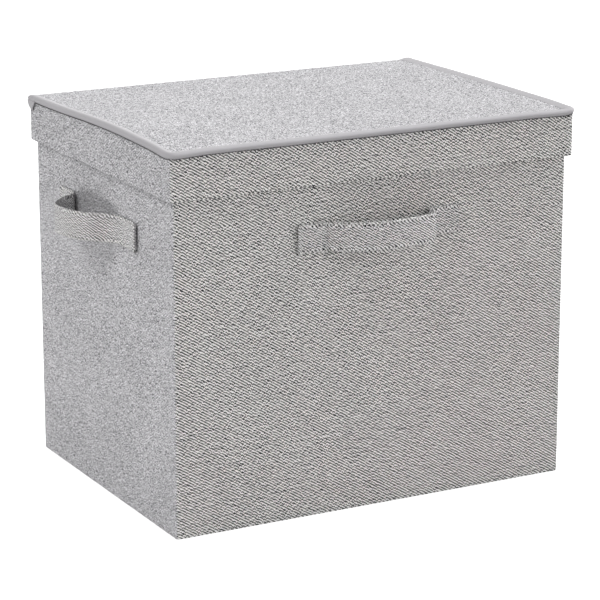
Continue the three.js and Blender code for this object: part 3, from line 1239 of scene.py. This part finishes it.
@dataclass
class StrapHandle(SewnPart):
    """A folded strap, sewn flat to the wall at both ends and bowed out between them.

    rise_knots holds places before the bow, each with its share of the sewn patch's rise, and
    far_rests holds the places after it where the strap lies flat again.
    """

    machine: SewingMachine
    side: Side
    bow: Sequence[Knot]
    patch_rise: float
    thickness: float = 2.0
    span: float = 107.0
    near_patch: float = 26.3
    far_patch: float = 29.5
    near_end_lift: float = 2.5
    far_end_lift: float = 1.2
    end_lift_length: float = 2.4
    rise_knots: tuple[Knot, ...] = ((12.0, 0.25), (5.0, 0.9), (1.5, 1.0))
    far_rests: tuple[float, float] = (3.0, 9.0)
    near_drop: float = 2.2
    far_drop: float = 0.3
    spacing: float = 1.3
    rows: int = 29
    edge_width: float = 3.4
    edge_stretch: float = 0.45
    topstitch_inset: float = 1.4
    pinch: float = 0.6
    pinch_width: float = 0.9
    thread_lift: float = 0.05
    crease_place: float = 31.6
    crease_depth: float = 1.4
    crease_width: float = 1.5
    patch_inset: float = 3.0
    patch_row_points: int = 5
    patch_row_lift: float = 0.15
    follow_start: float = 3.0
    follow_end: float = 13.0
    weave_shift: tuple[float, float] = (1.0, 2.0)

    def plan(self) -> np.ndarray:
        """Traces the strap's middle line from above, from its near end over the bow to its far end.

        Returns:
            The line's points: places along the wall and distances out from it.
        """
        flat = self.sizes.layer_gap + self.thickness / 2
        half = self.span / 2
        near, far = half + self.near_patch, half + self.far_patch
        knots = [
            (-near, flat + self.near_end_lift),
            (-near + self.end_lift_length, flat),
            (-near + 2 * self.end_lift_length, flat),
            *[(-half - before, flat + self.patch_rise * share) for before, share in self.rise_knots],
            *[(along, out - self.thickness / 2) for along, out in self.bow],
            *[(half + after, flat) for after in self.far_rests],
            (far - 2 * self.end_lift_length, flat),
            (far - self.end_lift_length, flat),
            (far, flat + self.far_end_lift),
        ]
        line = curved_path(knots, self.spacing)
        line[:, 1] -= self.crease_depth * swell(run_lengths(line) - self.crease_place, self.crease_width)
        return line

    def build(self) -> list[Piece]:
        """Makes the strap and its stitches.

        Returns:
            The strap, then its stitches.
        """
        label = self.side.label
        low, high = node_box(f"{label}_handle_grip")
        centre = (low + high) / 2
        width = high[2] - low[2]
        wall = self.sizes.wall_reach(self.side)[1]
        shift = {Side.FRONT: -centre[0], Side.LEFT: centre[1], Side.RIGHT: -centre[1]}[self.side]
        plan = self.plan()
        plan = plan[::-1] if self.side is Side.LEFT else plan * np.array([-1, 1])
        lengths = run_lengths(plan)
        total = lengths[-1]
        edge = self.thickness / 2
        rise = np.linspace(-width / 2 + edge, width / 2 - edge, self.rows)
        level = centre[2] + self.sag(self.from_near(lengths) / total)[:, None] + rise
        from_edge = width / 2 - np.abs(rise)
        outside = np.maximum(self.edge_width - from_edge, 0)
        woven = rise - np.sign(rise) * outside * (1 - self.edge_stretch)
        thickness = self.thickness - self.pinch * swell(from_edge - self.topstitch_inset, self.pinch_width)
        middle = self.side.place(plan[:, :1] + shift, wall + plan[:, 1:], level)
        run_shift, rise_shift = (self.side.value * factor for factor in self.weave_shift)
        flat = grid(lengths[:, None] + run_shift, woven + rise_shift)
        strap = cloth_solid(f"{label}_strap", middle, flat, thickness, edge=edge, edge_steps=3)
        self.wardrobe.dress(strap, Finish.STRAP)
        outward = self.side.place(0.0, 1.0, 0.0)
        foot = self.side.place(shift, wall, centre[2])
        body = f"{label}_handle"
        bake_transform(strap)
        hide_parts(f"{body}_end_a", f"{body}_end_b", f"{body}_grip")
        stitches = self.stitches(plan, lengths, shift, wall, centre[2], width)
        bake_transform(stitches)
        return [strap, stitches]

    def from_near(self, lengths: np.ndarray) -> np.ndarray:
        """Turns lengths along the plan to lengths from the strap's near end, or back."""
        return lengths[-1] - lengths if self.side is Side.LEFT else lengths

    def sag(self, share: np.ndarray) -> np.ndarray:
        """Gives the strap's height over its middle level at shares of its length from the near end."""
        return -self.near_drop * (1 - share) - self.far_drop * share

    def stitches(
        self,
        plan: np.ndarray,
        lengths: np.ndarray,
        shift: float,
        wall: float,
        level: float,
        width: float,
    ) -> Piece:
        """Sews the two rows along the strap and the box of stitches at each end.

        Args:
            plan: The strap's middle line.
            lengths: How far along the line each point lies.
            shift: Where the strap's middle is along the wall.
            wall: The wall's distance from the middle of the box.
            level: The level of the strap's middle.
            width: The strap's width.

        Returns:
            The stitches.
        """
        headings = unit(np.gradient(plan, axis=0))
        outward = np.stack([headings[:, 1], -headings[:, 0]], axis=1)
        face = plan + outward * (self.thickness / 2 - self.pinch / 2 + self.thread_lift)
        total = lengths[-1]
        reach = width / 2 - self.topstitch_inset
        seams = []
        inside = (lengths > self.patch_inset) & (lengths < total - self.patch_inset)
        sag = self.sag(self.from_near(lengths) / total)[inside]
        for rise in (-reach, reach):
            seams.append(self.side.place(face[inside, 0] + shift, wall + face[inside, 1], level + rise + sag))
        for from_near in (
            self.patch_inset,
            self.near_patch - self.patch_inset,
            total - self.far_patch + self.patch_inset,
            total - self.patch_inset,
        ):
            place = total - from_near if self.side is Side.LEFT else from_near
            along, out = (np.interp(place, lengths, face[:, axis]) for axis in (0, 1))
            rises = np.linspace(-reach, reach, self.patch_row_points) + self.sag(from_near / total)
            seams.append(self.side.place(along + shift, wall + (out + self.patch_row_lift), level + rises))
        piece = self.machine.sew(f"{self.side.label}_strap_stitches", seams)
        return piece


# The lid


@dataclass(frozen=True)
class LidShape:
    """How the sewn lid departs from flat: a slight crown, a raised left edge and dipped corners."""

    half_width: float
    half_depth: float
    crown: float = 0.8
    left_rise: float = 2.6
    left_rise_reach: float = 70.0
    left_rise_middle: float = -35.0
    left_rise_spread: float = 85.0
    right_curl: float = 1.2
    right_curl_start: float = 9.0
    right_curl_end: float = 6.0
    left_corner_dip: float = 1.4
    right_corner_dip: float = 0.84
    corner_spread: float = 22.0
    back_dip: float = 1.2

    def lift(self, x: np.ndarray, y: np.ndarray) -> np.ndarray:
        """Gives the height of the lid over flat.

        Args:
            x: Places across the lid.
            y: Places from front to back.

        Returns:
            The heights.
        """
        half_width, half_depth = self.half_width, self.half_depth
        dome = self.crown * (1 - (x / half_width) ** 2).clip(0) * (1 - (y / half_depth) ** 2).clip(0)
        near_left = swell(x + half_width, self.left_rise_reach)
        rise = self.left_rise * near_left * swell(y - self.left_rise_middle, self.left_rise_spread)
        left_distance = np.hypot(x + half_width, y + half_depth)
        right_distance = np.hypot(x - half_width, y + half_depth)
        dips = self.left_corner_dip * swell(left_distance, self.corner_spread)
        dips = dips + self.right_corner_dip * swell(right_distance, self.corner_spread)
        slope = self.back_dip * smooth_step(y, 0, half_depth)
        curl = self.right_curl * smooth_step(
            x, half_width - self.right_curl_start, half_width + self.right_curl_end
        )
        return dome + rise - dips - slope + curl


@dataclass
class FlipLid(SewnPart):
    """The lid: boarded top and skirt, the tape round its edge, its linings and the cloth hinge.

    tape_roll holds how far in and down from the tape's outer top each knot of its roll lies.
    """

    machine: SewingMachine
    shape: LidShape
    spacing: float = 6.0
    lining_spacing: float = 9.0
    lining_lift_share: float = 0.15
    top_edge_radius: float = 2.4
    top_corner_extra: float = 5.0
    seam_inset: float = 0.8
    skirt_lower_radius: float = 1.9
    skirt_tuck: float = 3.0
    skirt_lining_overlap: float = 0.2
    skirt_relief: SoftRelief = SoftRelief(41, 0.6, 90.0)
    skirt_relief_fade: float = 14.0
    skirt_end_power: int = 16
    skirt_edge_wave: SoftRelief = SoftRelief(5, 0.5, 150.0)
    skirt_lift_start: float = 8.0
    skirt_weave_shift: float = 5.7
    turn_steps: int = 4
    turn_creep: float = 0.03
    turn_share: float = 0.94
    end_cover: float = 1.4
    end_gap_share: float = 0.01
    edge_corner_points: int = 10
    tape_top_width: float = 8.0
    tape_edge_run: float = 2.4
    tape_edge_rise: float = 0.5
    tape_roll: tuple[Knot, ...] = ((3.0, 0.0), (1.0, 0.9), (0.0, 2.6))
    tape_lower_inset: float = 0.5
    tape_lower_rise: float = 1.0
    tape_step: float = 0.7
    tape_edge: float = 0.2
    tape_right_extra: float = 2.5
    tape_wave: SoftRelief = SoftRelief(77, 0.5, 60.0)
    tape_end_dip: float = 1.0
    tape_end_length: float = 5.0
    ditch_proud: float = 1.2
    ditch_drop: float = 0.1
    tail_width: float = 17.0
    tail_lift: float = 0.8
    tail_drop: float = 9.5
    tail_overhang: float = 2.0
    tail_tip_share: float = 0.45
    tail_narrowing: float = 0.94
    tail_narrowing_power: float = 1.2
    tail_swell: float = 1.2
    tail_tuck_power: int = 3
    tail_points: tuple[int, int] = (9, 7)
    hinge_top_drop: float = 2.4
    hinge_bend_rise: float = 0.6
    hinge_slack_reach: float = 7.0
    hinge_slack_drop: float = 2.1
    hinge_return_drop: float = 1.0
    hinge_tail: float = 20.0
    hinge_fold_radius: float = 0.8
    hinge_step: float = 2.0

    def top(self) -> Piece:
        """Makes the top cloth, turned down over the back edge.

        Returns:
            The cloth.
        """
        half = self.sizes.cloth / 2
        reach = self.sizes.binding_proud - self.sizes.tape - self.seam_inset
        front = self.sizes.half_depth + reach
        level = self.sizes.lid_cloth_top - half
        back = self.sizes.lid_back - half
        path = rounded_path(
            [(-front, level), (back, level), (back, self.sizes.lid_lining_bottom + self.sizes.layer_gap)],
            [self.top_edge_radius - half],
            self.spacing,
        )
        climb = run_lengths(path)
        side = self.sizes.half_width + reach
        square = grid(even_steps(-side, side, self.spacing)[:, None], path[None, :, 0])
        radius = self.sizes.binding_corner_radius - reach + self.top_corner_extra
        x, y = self.round_front_corners(square[..., 0], square[..., 1], side, front, radius)
        middle = grid(x, y, path[None, :, 1] + self.shape.lift(x, y))
        piece = cloth_solid("lid_top_sheet", middle, grid(x, climb[None, :]), self.sizes.cloth)
        self.wardrobe.dress(piece, Finish.TOP_MARL)
        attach(piece, "lid")
        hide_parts("lid_top_cloth")
        return piece

    @staticmethod
    def round_front_corners(
        x: np.ndarray, y: np.ndarray, side: float, front: float, radius: float
    ) -> tuple[np.ndarray, np.ndarray]:
        """Draws the front corners of a square grid in to a round.

        Args:
            x: Places across.
            y: Places from front to back, with the front negative.
            side: The half width of the grid.
            front: The distance of its front edge.
            radius: The radius of the rounded corners.

        Returns:
            The new places across and from front to back.
        """
        over_x = np.maximum(np.abs(x) - (side - radius), 0)
        over_y = np.maximum(-y - (front - radius), 0)
        both = (over_x > 0) & (over_y > 0)
        shrink = np.maximum(over_x, over_y) / np.maximum(np.hypot(over_x, over_y), TINY)
        new_x = np.where(both, np.sign(x) * (side - radius + over_x * shrink), x)
        new_y = np.where(both, -(front - radius + over_y * shrink), y)
        return new_x, new_y

    def lining(self) -> Piece:
        """Makes the lining under the lid's board.

        Returns:
            The lining.
        """
        low, high = node_box("lid_top_lining")
        x = even_steps(low[0], high[0], self.lining_spacing)[:, None]
        y = even_steps(high[1], low[1], self.lining_spacing)[None, :]
        middle = grid(x, y, (low[2] + high[2]) / 2 + self.shape.lift(x, y) * self.lining_lift_share)
        piece = cloth_solid("lid_lining_sheet", middle, middle[..., :2], self.sizes.lining, edge=CUT_EDGE)
        self.wardrobe.dress(piece, Finish.LINING)
        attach(piece, "lid")
        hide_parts("lid_top_lining")
        return piece

    def skirt_shares(self, side: Side, plan: RoundedCorner) -> np.ndarray:
        """Divides a skirt along its length: both ends mitred, or one end cut straight at the back.

        Args:
            side: The skirt's side.
            plan: Its plan.

        Returns:
            Shares of its half length, from its +share end to its -share end.
        """
        first, straight, last = plan.shares(self.spacing)
        if side is Side.FRONT:
            return np.concatenate([first, straight, last])
        back_share = (self.sizes.half_depth + self.end_cover) / plan.half_length
        end = back_share + np.arange(self.turn_steps, -1, -1) * self.turn_creep / plan.half_length
        if side is Side.LEFT:
            return np.concatenate([end, straight[straight < back_share - self.end_gap_share], last])
        return np.concatenate([first, straight[straight > -back_share + self.end_gap_share], -end[::-1]])

    def end_turn(self, side: Side, count: int) -> np.ndarray:
        """Gives how far each column of a skirt's cloth is turned in over the board's back end.

        Args:
            side: The skirt's side.
            count: How many columns it has.

        Returns:
            Shares of the way in, one a row: zero but at the back end.
        """
        turn = np.zeros((count, 1))
        steps = np.linspace(1, 0, self.turn_steps + 1)[:-1, None] * self.turn_share
        if side is Side.LEFT:
            turn[: self.turn_steps] = steps
        elif side is Side.RIGHT:
            turn[-self.turn_steps :] = steps[::-1]
        return turn

    def skirt(self, side: Side) -> Piece:
        """Makes the cloth of one side of the skirt.

        Args:
            side: Which side.

        Returns:
            The cloth.
        """
        sizes = self.sizes
        half = sizes.cloth / 2
        proud = sizes.skirt_proud
        half_length, distance = (reach + proud for reach in sizes.wall_reach(side))
        plan = RoundedCorner(half_length, distance, sizes.skirt_corner_radius)
        bottom = sizes.skirt_bottom + half
        inner = proud - sizes.skirt_lining_proud + sizes.lining - self.skirt_lining_overlap
        corners = [(inner, bottom), (half, bottom), (half, sizes.lid_lining_bottom + self.skirt_tuck)]
        section = rounded_path(corners, [self.skirt_lower_radius - half], self.spacing)
        climb = run_lengths(section)
        share = self.skirt_shares(side, plan)[:, None]
        along = -share * half_length
        level = section[None, :, 1]
        turn = self.end_turn(side, len(share))
        depth = section[None, :, 0] + turn * (inner - section[None, :, 0])
        ends = 1 - np.abs(share) ** self.skirt_end_power
        puff = self.skirt_relief.at(along, level, side.value) * ends * (depth < sizes.cloth)
        fade_start = sizes.binding_bottom - self.skirt_relief_fade
        puff = puff * (1 - smooth_step(level, fade_start, sizes.binding_bottom))
        across, out = plan.at(share, depth - puff)
        middle = side.place(across, out, level)
        lift_start = sizes.skirt_bottom + self.skirt_lift_start
        climb_share = smooth_step(middle[..., 2], lift_start, sizes.binding_bottom)
        wave = self.skirt_edge_wave.at(along, along * 0, side.value) - self.skirt_edge_wave.height / 2
        lift = self.shape.lift(middle[..., 0], middle[..., 1]) * climb_share
        middle[..., 2] += lift + wave * (1 - climb_share) * ends
        turned = along + turn * (inner - half) * np.sign(along)
        flat = grid(turned + side.value * self.skirt_weave_shift, climb[None, :])
        name = f"lid_{side.label}_skirt"
        piece = cloth_solid(f"{name}_sheet", middle, flat, sizes.cloth)
        self.wardrobe.dress(piece, side.cloth_finish)
        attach(piece, "lid")
        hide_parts(f"{name}_cloth")
        return piece

    def skirt_lining(self, side: Side) -> Piece:
        """Makes the lining inside one side of the skirt.

        Args:
            side: Which side.

        Returns:
            The lining.
        """
        name = f"lid_{side.label}_skirt_lining"
        low, high = node_box(name)
        axis = 0 if side.is_long else 1
        other = 1 - axis
        along = even_steps(low[axis], high[axis], self.lining_spacing)
        if side is Side.LEFT:
            along = along[::-1]
        run, rise = np.meshgrid(along, even_steps(low[2], high[2], self.spacing), indexing="ij")
        places = [run, run, rise]
        places[other] = (low[other] + high[other]) / 2
        piece = cloth_solid(name + "_sheet", grid(*places), grid(run, rise), self.sizes.lining, edge=CUT_EDGE)
        self.wardrobe.dress(piece, Finish.LINING)
        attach(piece, "lid")
        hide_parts(name)
        return piece

    def edge_route(self) -> tuple[np.ndarray, np.ndarray, np.ndarray]:
        """Traces the lid's edge from the back left end to the back right end.

        Returns:
            The middles of the corner rounds or the straight points, the outward headings, and how
            far along the edge each point lies.
        """
        sizes = self.sizes
        radius = sizes.binding_corner_radius - sizes.binding_proud
        side = sizes.half_width - radius
        front = -sizes.half_depth + radius
        left, ahead, right = math.pi, 1.5 * math.pi, 2 * math.pi
        left_round = np.linspace(left, ahead, self.edge_corner_points)[1:-1]
        right_round = np.linspace(ahead, right, self.edge_corner_points)[1:-1]
        places = [(-side, y, left) for y in even_steps(sizes.lid_back, front, self.spacing)]
        places += [(-side, front, heading) for heading in left_round]
        places += [(x, front, ahead) for x in even_steps(-side, side, self.spacing)]
        places += [(side, front, heading) for heading in right_round]
        places += [(side, y, 0.0) for y in even_steps(front, sizes.lid_back, self.spacing)]
        route = np.array(places)
        centres = route[:, :2]
        outward = np.stack([np.cos(route[:, 2]), np.sin(route[:, 2])], axis=1)
        return centres, outward, run_lengths(centres + outward * sizes.binding_corner_radius)

    def binding(self) -> list[Piece]:
        """Makes the tape that is folded round the seam along three edges.

        Returns:
            The tape, then its spare end.
        """
        sizes = self.sizes
        half = sizes.tape / 2
        radius = sizes.binding_corner_radius - sizes.binding_proud
        centres, outward, lengths = self.edge_route()
        inner = sizes.binding_proud - self.tape_top_width
        outer = sizes.binding_proud - half
        top = sizes.overall_top - half
        bottom = sizes.binding_bottom + half
        flush = sizes.lid_cloth_top - half / 2
        knots = [
            (inner, flush),
            (inner + self.tape_edge_run, flush + self.tape_edge_rise),
            *[(outer - inset, top - drop) for inset, drop in self.tape_roll],
            (outer - self.tape_lower_inset, bottom + self.tape_lower_rise),
            (sizes.skirt_proud + self.tape_lower_inset, bottom),
        ]
        section = curved_path(knots, self.tape_step)
        girth = run_lengths(section)
        proud, rise = section[None, :, 0], section[None, :, 1]
        widen = self.tape_right_extra * np.clip(outward[:, :1], 0, 1)
        reach = proud + radius - widen * smooth_step(-proud, -sizes.skirt_proud, -inner)
        place = centres[:, None, :] + outward[:, None, :] * reach[..., None]
        level = rise + self.shape.lift(place[..., 0], place[..., 1])
        wave = self.tape_wave.at(lengths, lengths * 0)[:, None] - self.tape_wave.height / 2
        level = level + wave * (proud > sizes.skirt_proud)
        ends = smooth_step(place[..., 1], sizes.lid_back - self.tape_end_length, sizes.lid_back)
        level = level - self.tape_end_dip * smooth_step(rise, bottom, top) * ends
        middle = np.concatenate([place, level[..., None]], axis=-1)
        flat = grid(lengths[:, None], girth[None, :])
        piece = cloth_solid("lid_edge_tape", middle[::-1], flat[::-1], sizes.tape, edge=self.tape_edge)
        self.wardrobe.dress(piece, Finish.TAPE)
        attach(piece, "lid")
        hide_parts("lid_binding")
        tail = self.tape_tail()
        return [piece, tail]

    def tape_shadow_stitches(self) -> Piece:
        """Sews a row of near-black stitches in the ditch under the tape, whose dark colour is painted shadow:
        it draws the shade line under the tape's edge.

        Returns:
            The stitches.
        """
        sizes = self.sizes
        centres, outward, _ = self.edge_route()
        reach = sizes.binding_corner_radius - sizes.binding_proud + sizes.skirt_proud + self.ditch_proud
        row = centres + outward * reach
        level = sizes.binding_bottom - self.ditch_drop + self.shape.lift(row[:, 0], row[:, 1])
        seam = np.column_stack([row, level])
        piece = self.machine.sew("tape_edge_shadow_stitches", [seam], self.wardrobe.shadow_line_thread)
        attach(piece, "lid")
        return piece

    def tape_tail(self) -> Piece:
        """Makes the tape's spare end, folded down over the left back corner.

        Returns:
            The spare end.
        """
        sizes = self.sizes
        share = np.linspace(0, 1, self.tail_points[0])[:, None]
        drop = np.linspace(0, 1, self.tail_points[1])[None, :]
        tip = sizes.lid_back - self.tail_width * self.tail_tip_share
        narrowing = 1 - drop**self.tail_narrowing_power * self.tail_narrowing
        y = tip + (sizes.lid_back + self.tail_overhang - self.tail_width * share - tip) * narrowing
        level = sizes.binding_bottom + self.tail_lift - drop * self.tail_drop
        out = sizes.binding_proud - sizes.tape + self.tail_swell * np.sin(drop * math.pi / 2)
        out = out - (out - sizes.skirt_proud - sizes.tape) * drop**self.tail_tuck_power
        level = level + self.shape.lift(np.full(y.shape, -sizes.half_width), y)
        middle = grid(-sizes.half_width - out, y, level)[:, ::-1]
        flat = grid(share * self.tail_width, drop * self.tail_drop)[:, ::-1]
        piece = cloth_solid("tape_end_tail", middle, flat, sizes.tape)
        self.wardrobe.dress(piece, Finish.TAPE)
        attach(piece, "lid")
        return piece

    def hinge(self) -> Piece:
        """Makes the slack hinge cloth along the back.

        Returns:
            The cloth.
        """
        sizes = self.sizes
        half = sizes.cloth / 2
        on_lid = sizes.lid_back + sizes.layer_gap + half
        on_wall = sizes.half_depth + sizes.layer_gap + half
        slack_level = sizes.lid_lining_bottom - self.hinge_slack_drop
        returned = slack_level - self.hinge_return_drop
        corners = [
            (on_lid, sizes.lid_cloth_top - self.hinge_top_drop),
            (on_lid, sizes.lid_lining_bottom + self.hinge_bend_rise),
            (sizes.lid_back + self.hinge_slack_reach, slack_level),
            (on_wall, returned),
            (on_wall, returned - self.hinge_tail),
        ]
        path = rounded_path(corners, [self.hinge_fold_radius] * 3, self.hinge_step)
        climb = run_lengths(path)
        full = node_box("hinge_cloth")[1][0]
        narrow = sizes.half_width - sizes.corner_radius
        width = narrow + (full - narrow) * smooth_step(path[:, 1], returned, slack_level)
        x = even_steps(1, -1, self.spacing / full)[:, None] * width[None, :]
        middle = grid(x, path[None, :, 0], path[None, :, 1])[:, ::-1]
        flat = grid(-x, climb[None, :])[:, ::-1]
        piece = cloth_solid("hinge_strip", middle, flat, sizes.cloth, edge=CUT_EDGE)
        self.wardrobe.dress(piece, Finish.MARL)
        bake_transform(piece)
        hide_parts("hinge_cloth")
        return piece

    def build(self) -> list[Piece]:
        """Makes the lid's cloth.

        Returns:
            The lid's pieces and the hinge cloth.
        """
        pieces = [self.top(), self.lining()]
        for side in (Side.FRONT, Side.LEFT, Side.RIGHT):
            pieces += [self.skirt(side), self.skirt_lining(side)]
        return [*pieces, *self.binding(), self.tape_shadow_stitches(), self.hinge()]


# The studio


@dataclass(frozen=True)
class FarLight:
    """A light that is far away: the way to it, how strong it is, and how wide it looks in degrees."""

    name: str
    direction: tuple[float, float, float]
    strength: float
    softness: float

    def build(self) -> None:
        """Makes the light and turns it to the box."""
        light = bpy.data.lights.new(self.name, "SUN")
        light.energy = self.strength
        light.angle = math.radians(self.softness)
        made = add_object(self.name, light)
        made.rotation_euler = Vector(self.direction).to_track_quat("Z", "Y").to_euler()


@dataclass(frozen=True)
class Studio:
    """The camera at the photograph's viewing angle, and a plain white studio round the box.

    The light comes from a soft sun, three windows, a low white card and an even sky.
    """

    azimuth: float = -28.3
    elevation: float = 15.29
    distance: float = 2511.8
    lens: float = 159.68
    sensor_width: float = 36.0
    clip_end: float = 100.0
    aim_level: float = 171.0
    aim_right: float = 2.26
    aim_up: float = -12.95
    far_lights: tuple[FarLight, ...] = (
        FarLight("soft_sun", (0.72, 0.02, 0.70), 2.7, 22.0),
        FarLight("front_window", (0.62, -0.74, 0.1), 1.45, 60.0),
        FarLight("side_window", (-0.62, -0.1, 0.78), 1.2, 30.0),
        FarLight("back_window", (0.1, 0.98, 0.04), 0.7, 60.0),
    )
    card_heading: tuple[float, float, float] = (-1.0, 0.0, 0.0)
    card_power: float = 1.45
    card_width: float = 1.3
    card_height: float = 0.12
    card_level: float = 0.12
    card_distance: float = 0.72
    sky_strength: float = 0.33
    floor_size: float = 12.0
    floor_drop: float = 0.0002
    floor_glow: float = 0.8
    floor_grey: float = 0.5

    def camera(self) -> None:
        """Makes the camera and sets it."""
        turn, tilt = math.radians(self.azimuth), math.radians(self.elevation)
        back = Vector((math.sin(turn) * math.cos(tilt), -math.cos(turn) * math.cos(tilt), math.sin(tilt)))
        right = Vector((0, 0, 1)).cross(back).normalized()
        up = back.cross(right)
        aim = Vector((0, 0, self.aim_level)) + right * self.aim_right + up * self.aim_up
        data = bpy.data.cameras.new("photo_camera")
        data.lens = self.lens
        data.sensor_width = self.sensor_width
        data.clip_end = self.clip_end
        camera = add_object("photo_camera", data)
        spot = (aim + back * self.distance) * METRES_PER_MM
        camera.matrix_world = Matrix.Translation(spot) @ Matrix((right, up, back)).transposed().to_4x4()
        bpy.context.scene.camera = camera

    def card(self) -> None:
        """Makes the low white card on the left, which throws the floor's light back at the box."""
        light = bpy.data.lights.new("left_card", "AREA")
        light.shape = "RECTANGLE"
        light.size = self.card_width
        light.size_y = self.card_height
        light.energy = self.card_power
        made = add_object("left_card", light)
        spot = Vector(self.card_heading) * self.card_distance
        made.location = (spot.x, spot.y, self.card_level)
        made.rotation_euler = Vector(self.card_heading).to_track_quat("Z", "Y").to_euler()
        made.visible_camera = False

    def sky(self) -> None:
        """Makes the even sky, which looks white wherever it is seen or mirrored."""
        world = bpy.data.worlds.new("white_studio")
        world.use_nodes = True
        tree = world.node_tree
        tree.nodes.clear()
        path = add_node(tree, "ShaderNodeLightPath").node.outputs
        shown = path["Is Camera Ray"]
        for ray in ("Is Glossy Ray", "Is Transmission Ray"):
            shown = add_node(tree, "ShaderNodeMath", {0: shown, 1: path[ray]}, operation="MAXIMUM")
        strength = add_node(
            tree, "ShaderNodeMapRange", {"Value": shown, "To Min": self.sky_strength, "To Max": 1.0}
        )
        sky = add_node(tree, "ShaderNodeBackground", {"Color": (1, 1, 1, 1), "Strength": strength})
        add_node(tree, "ShaderNodeOutputWorld", {"Surface": sky})
        bpy.context.scene.world = world

    def floor(self) -> None:
        """Makes the pale floor, which looks white and keeps the box's shadow."""
        half = self.floor_size / 2
        mesh = bpy.data.meshes.new("studio_floor")
        corners = [(-half, -half, 0), (half, -half, 0), (half, half, 0), (-half, half, 0)]
        mesh.from_pydata(corners, [], [(0, 1, 2, 3)])
        floor = add_object("studio_floor", mesh)
        floor.location.z = -self.floor_drop
        material, tree = start_material("studio_paper")
        seen = add_node(tree, "ShaderNodeLightPath", output="Is Camera Ray")
        grey = (self.floor_grey, self.floor_grey, self.floor_grey, 1)
        paper = add_node(tree, "ShaderNodeBsdfDiffuse", {"Color": grey})
        white = add_node(tree, "ShaderNodeEmission", {"Strength": self.floor_glow})
        both = add_node(tree, "ShaderNodeAddShader", {0: paper, 1: white})
        shown = add_node(tree, "ShaderNodeMixShader", {0: seen, 1: paper, 2: both})
        add_node(tree, "ShaderNodeOutputMaterial", {"Surface": shown})
        mesh.materials.append(material)

    def build(self) -> None:
        """Sets up the camera, the lights, the sky and the floor."""
        self.camera()
        for light in self.far_lights:
            light.build()
        self.card()
        self.sky()
        self.floor()
        bpy.context.scene.view_settings.view_transform = "Standard"


def finish_boards(wardrobe: Wardrobe) -> None:
    """Gives the boards, which keep their CAD meshes, their finish.

    Args:
        wardrobe: The materials.
    """
    for name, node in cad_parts.items():
        if name.endswith("_board"):
            node.data.materials.clear()
            node.data.materials.append(wardrobe.by_finish[Finish.BOARD])


def main() -> None:
    """Builds the storage cube's looks in order."""
    logging.basicConfig(level=logging.INFO, format="%(message)s")
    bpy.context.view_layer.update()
    Studio().build()
    sizes = BoxSizes.from_frame()
    wardrobe = Wardrobe()
    machine = SewingMachine(wardrobe)
    finish_boards(wardrobe)
    assemblies = [
        BinCover(sizes, wardrobe, machine),
        BinLining(sizes, wardrobe),
        BaseInsert(sizes, wardrobe),
        StrapHandle(sizes, wardrobe, machine, Side.FRONT, FRONT_BOW, patch_rise=1.5),
        StrapHandle(sizes, wardrobe, machine, Side.LEFT, SIDE_BOW, patch_rise=0.3),
        StrapHandle(sizes, wardrobe, machine, Side.RIGHT, SIDE_BOW, patch_rise=0.3),
        FlipLid(sizes, wardrobe, machine, LidShape(sizes.half_width, sizes.half_depth)),
    ]
    for assembly in assemblies:
        for piece in assembly.build():
            LOG.info("%s: %d faces", piece.name, len(piece.data.polygons))


if __name__ == "__main__":
    main()
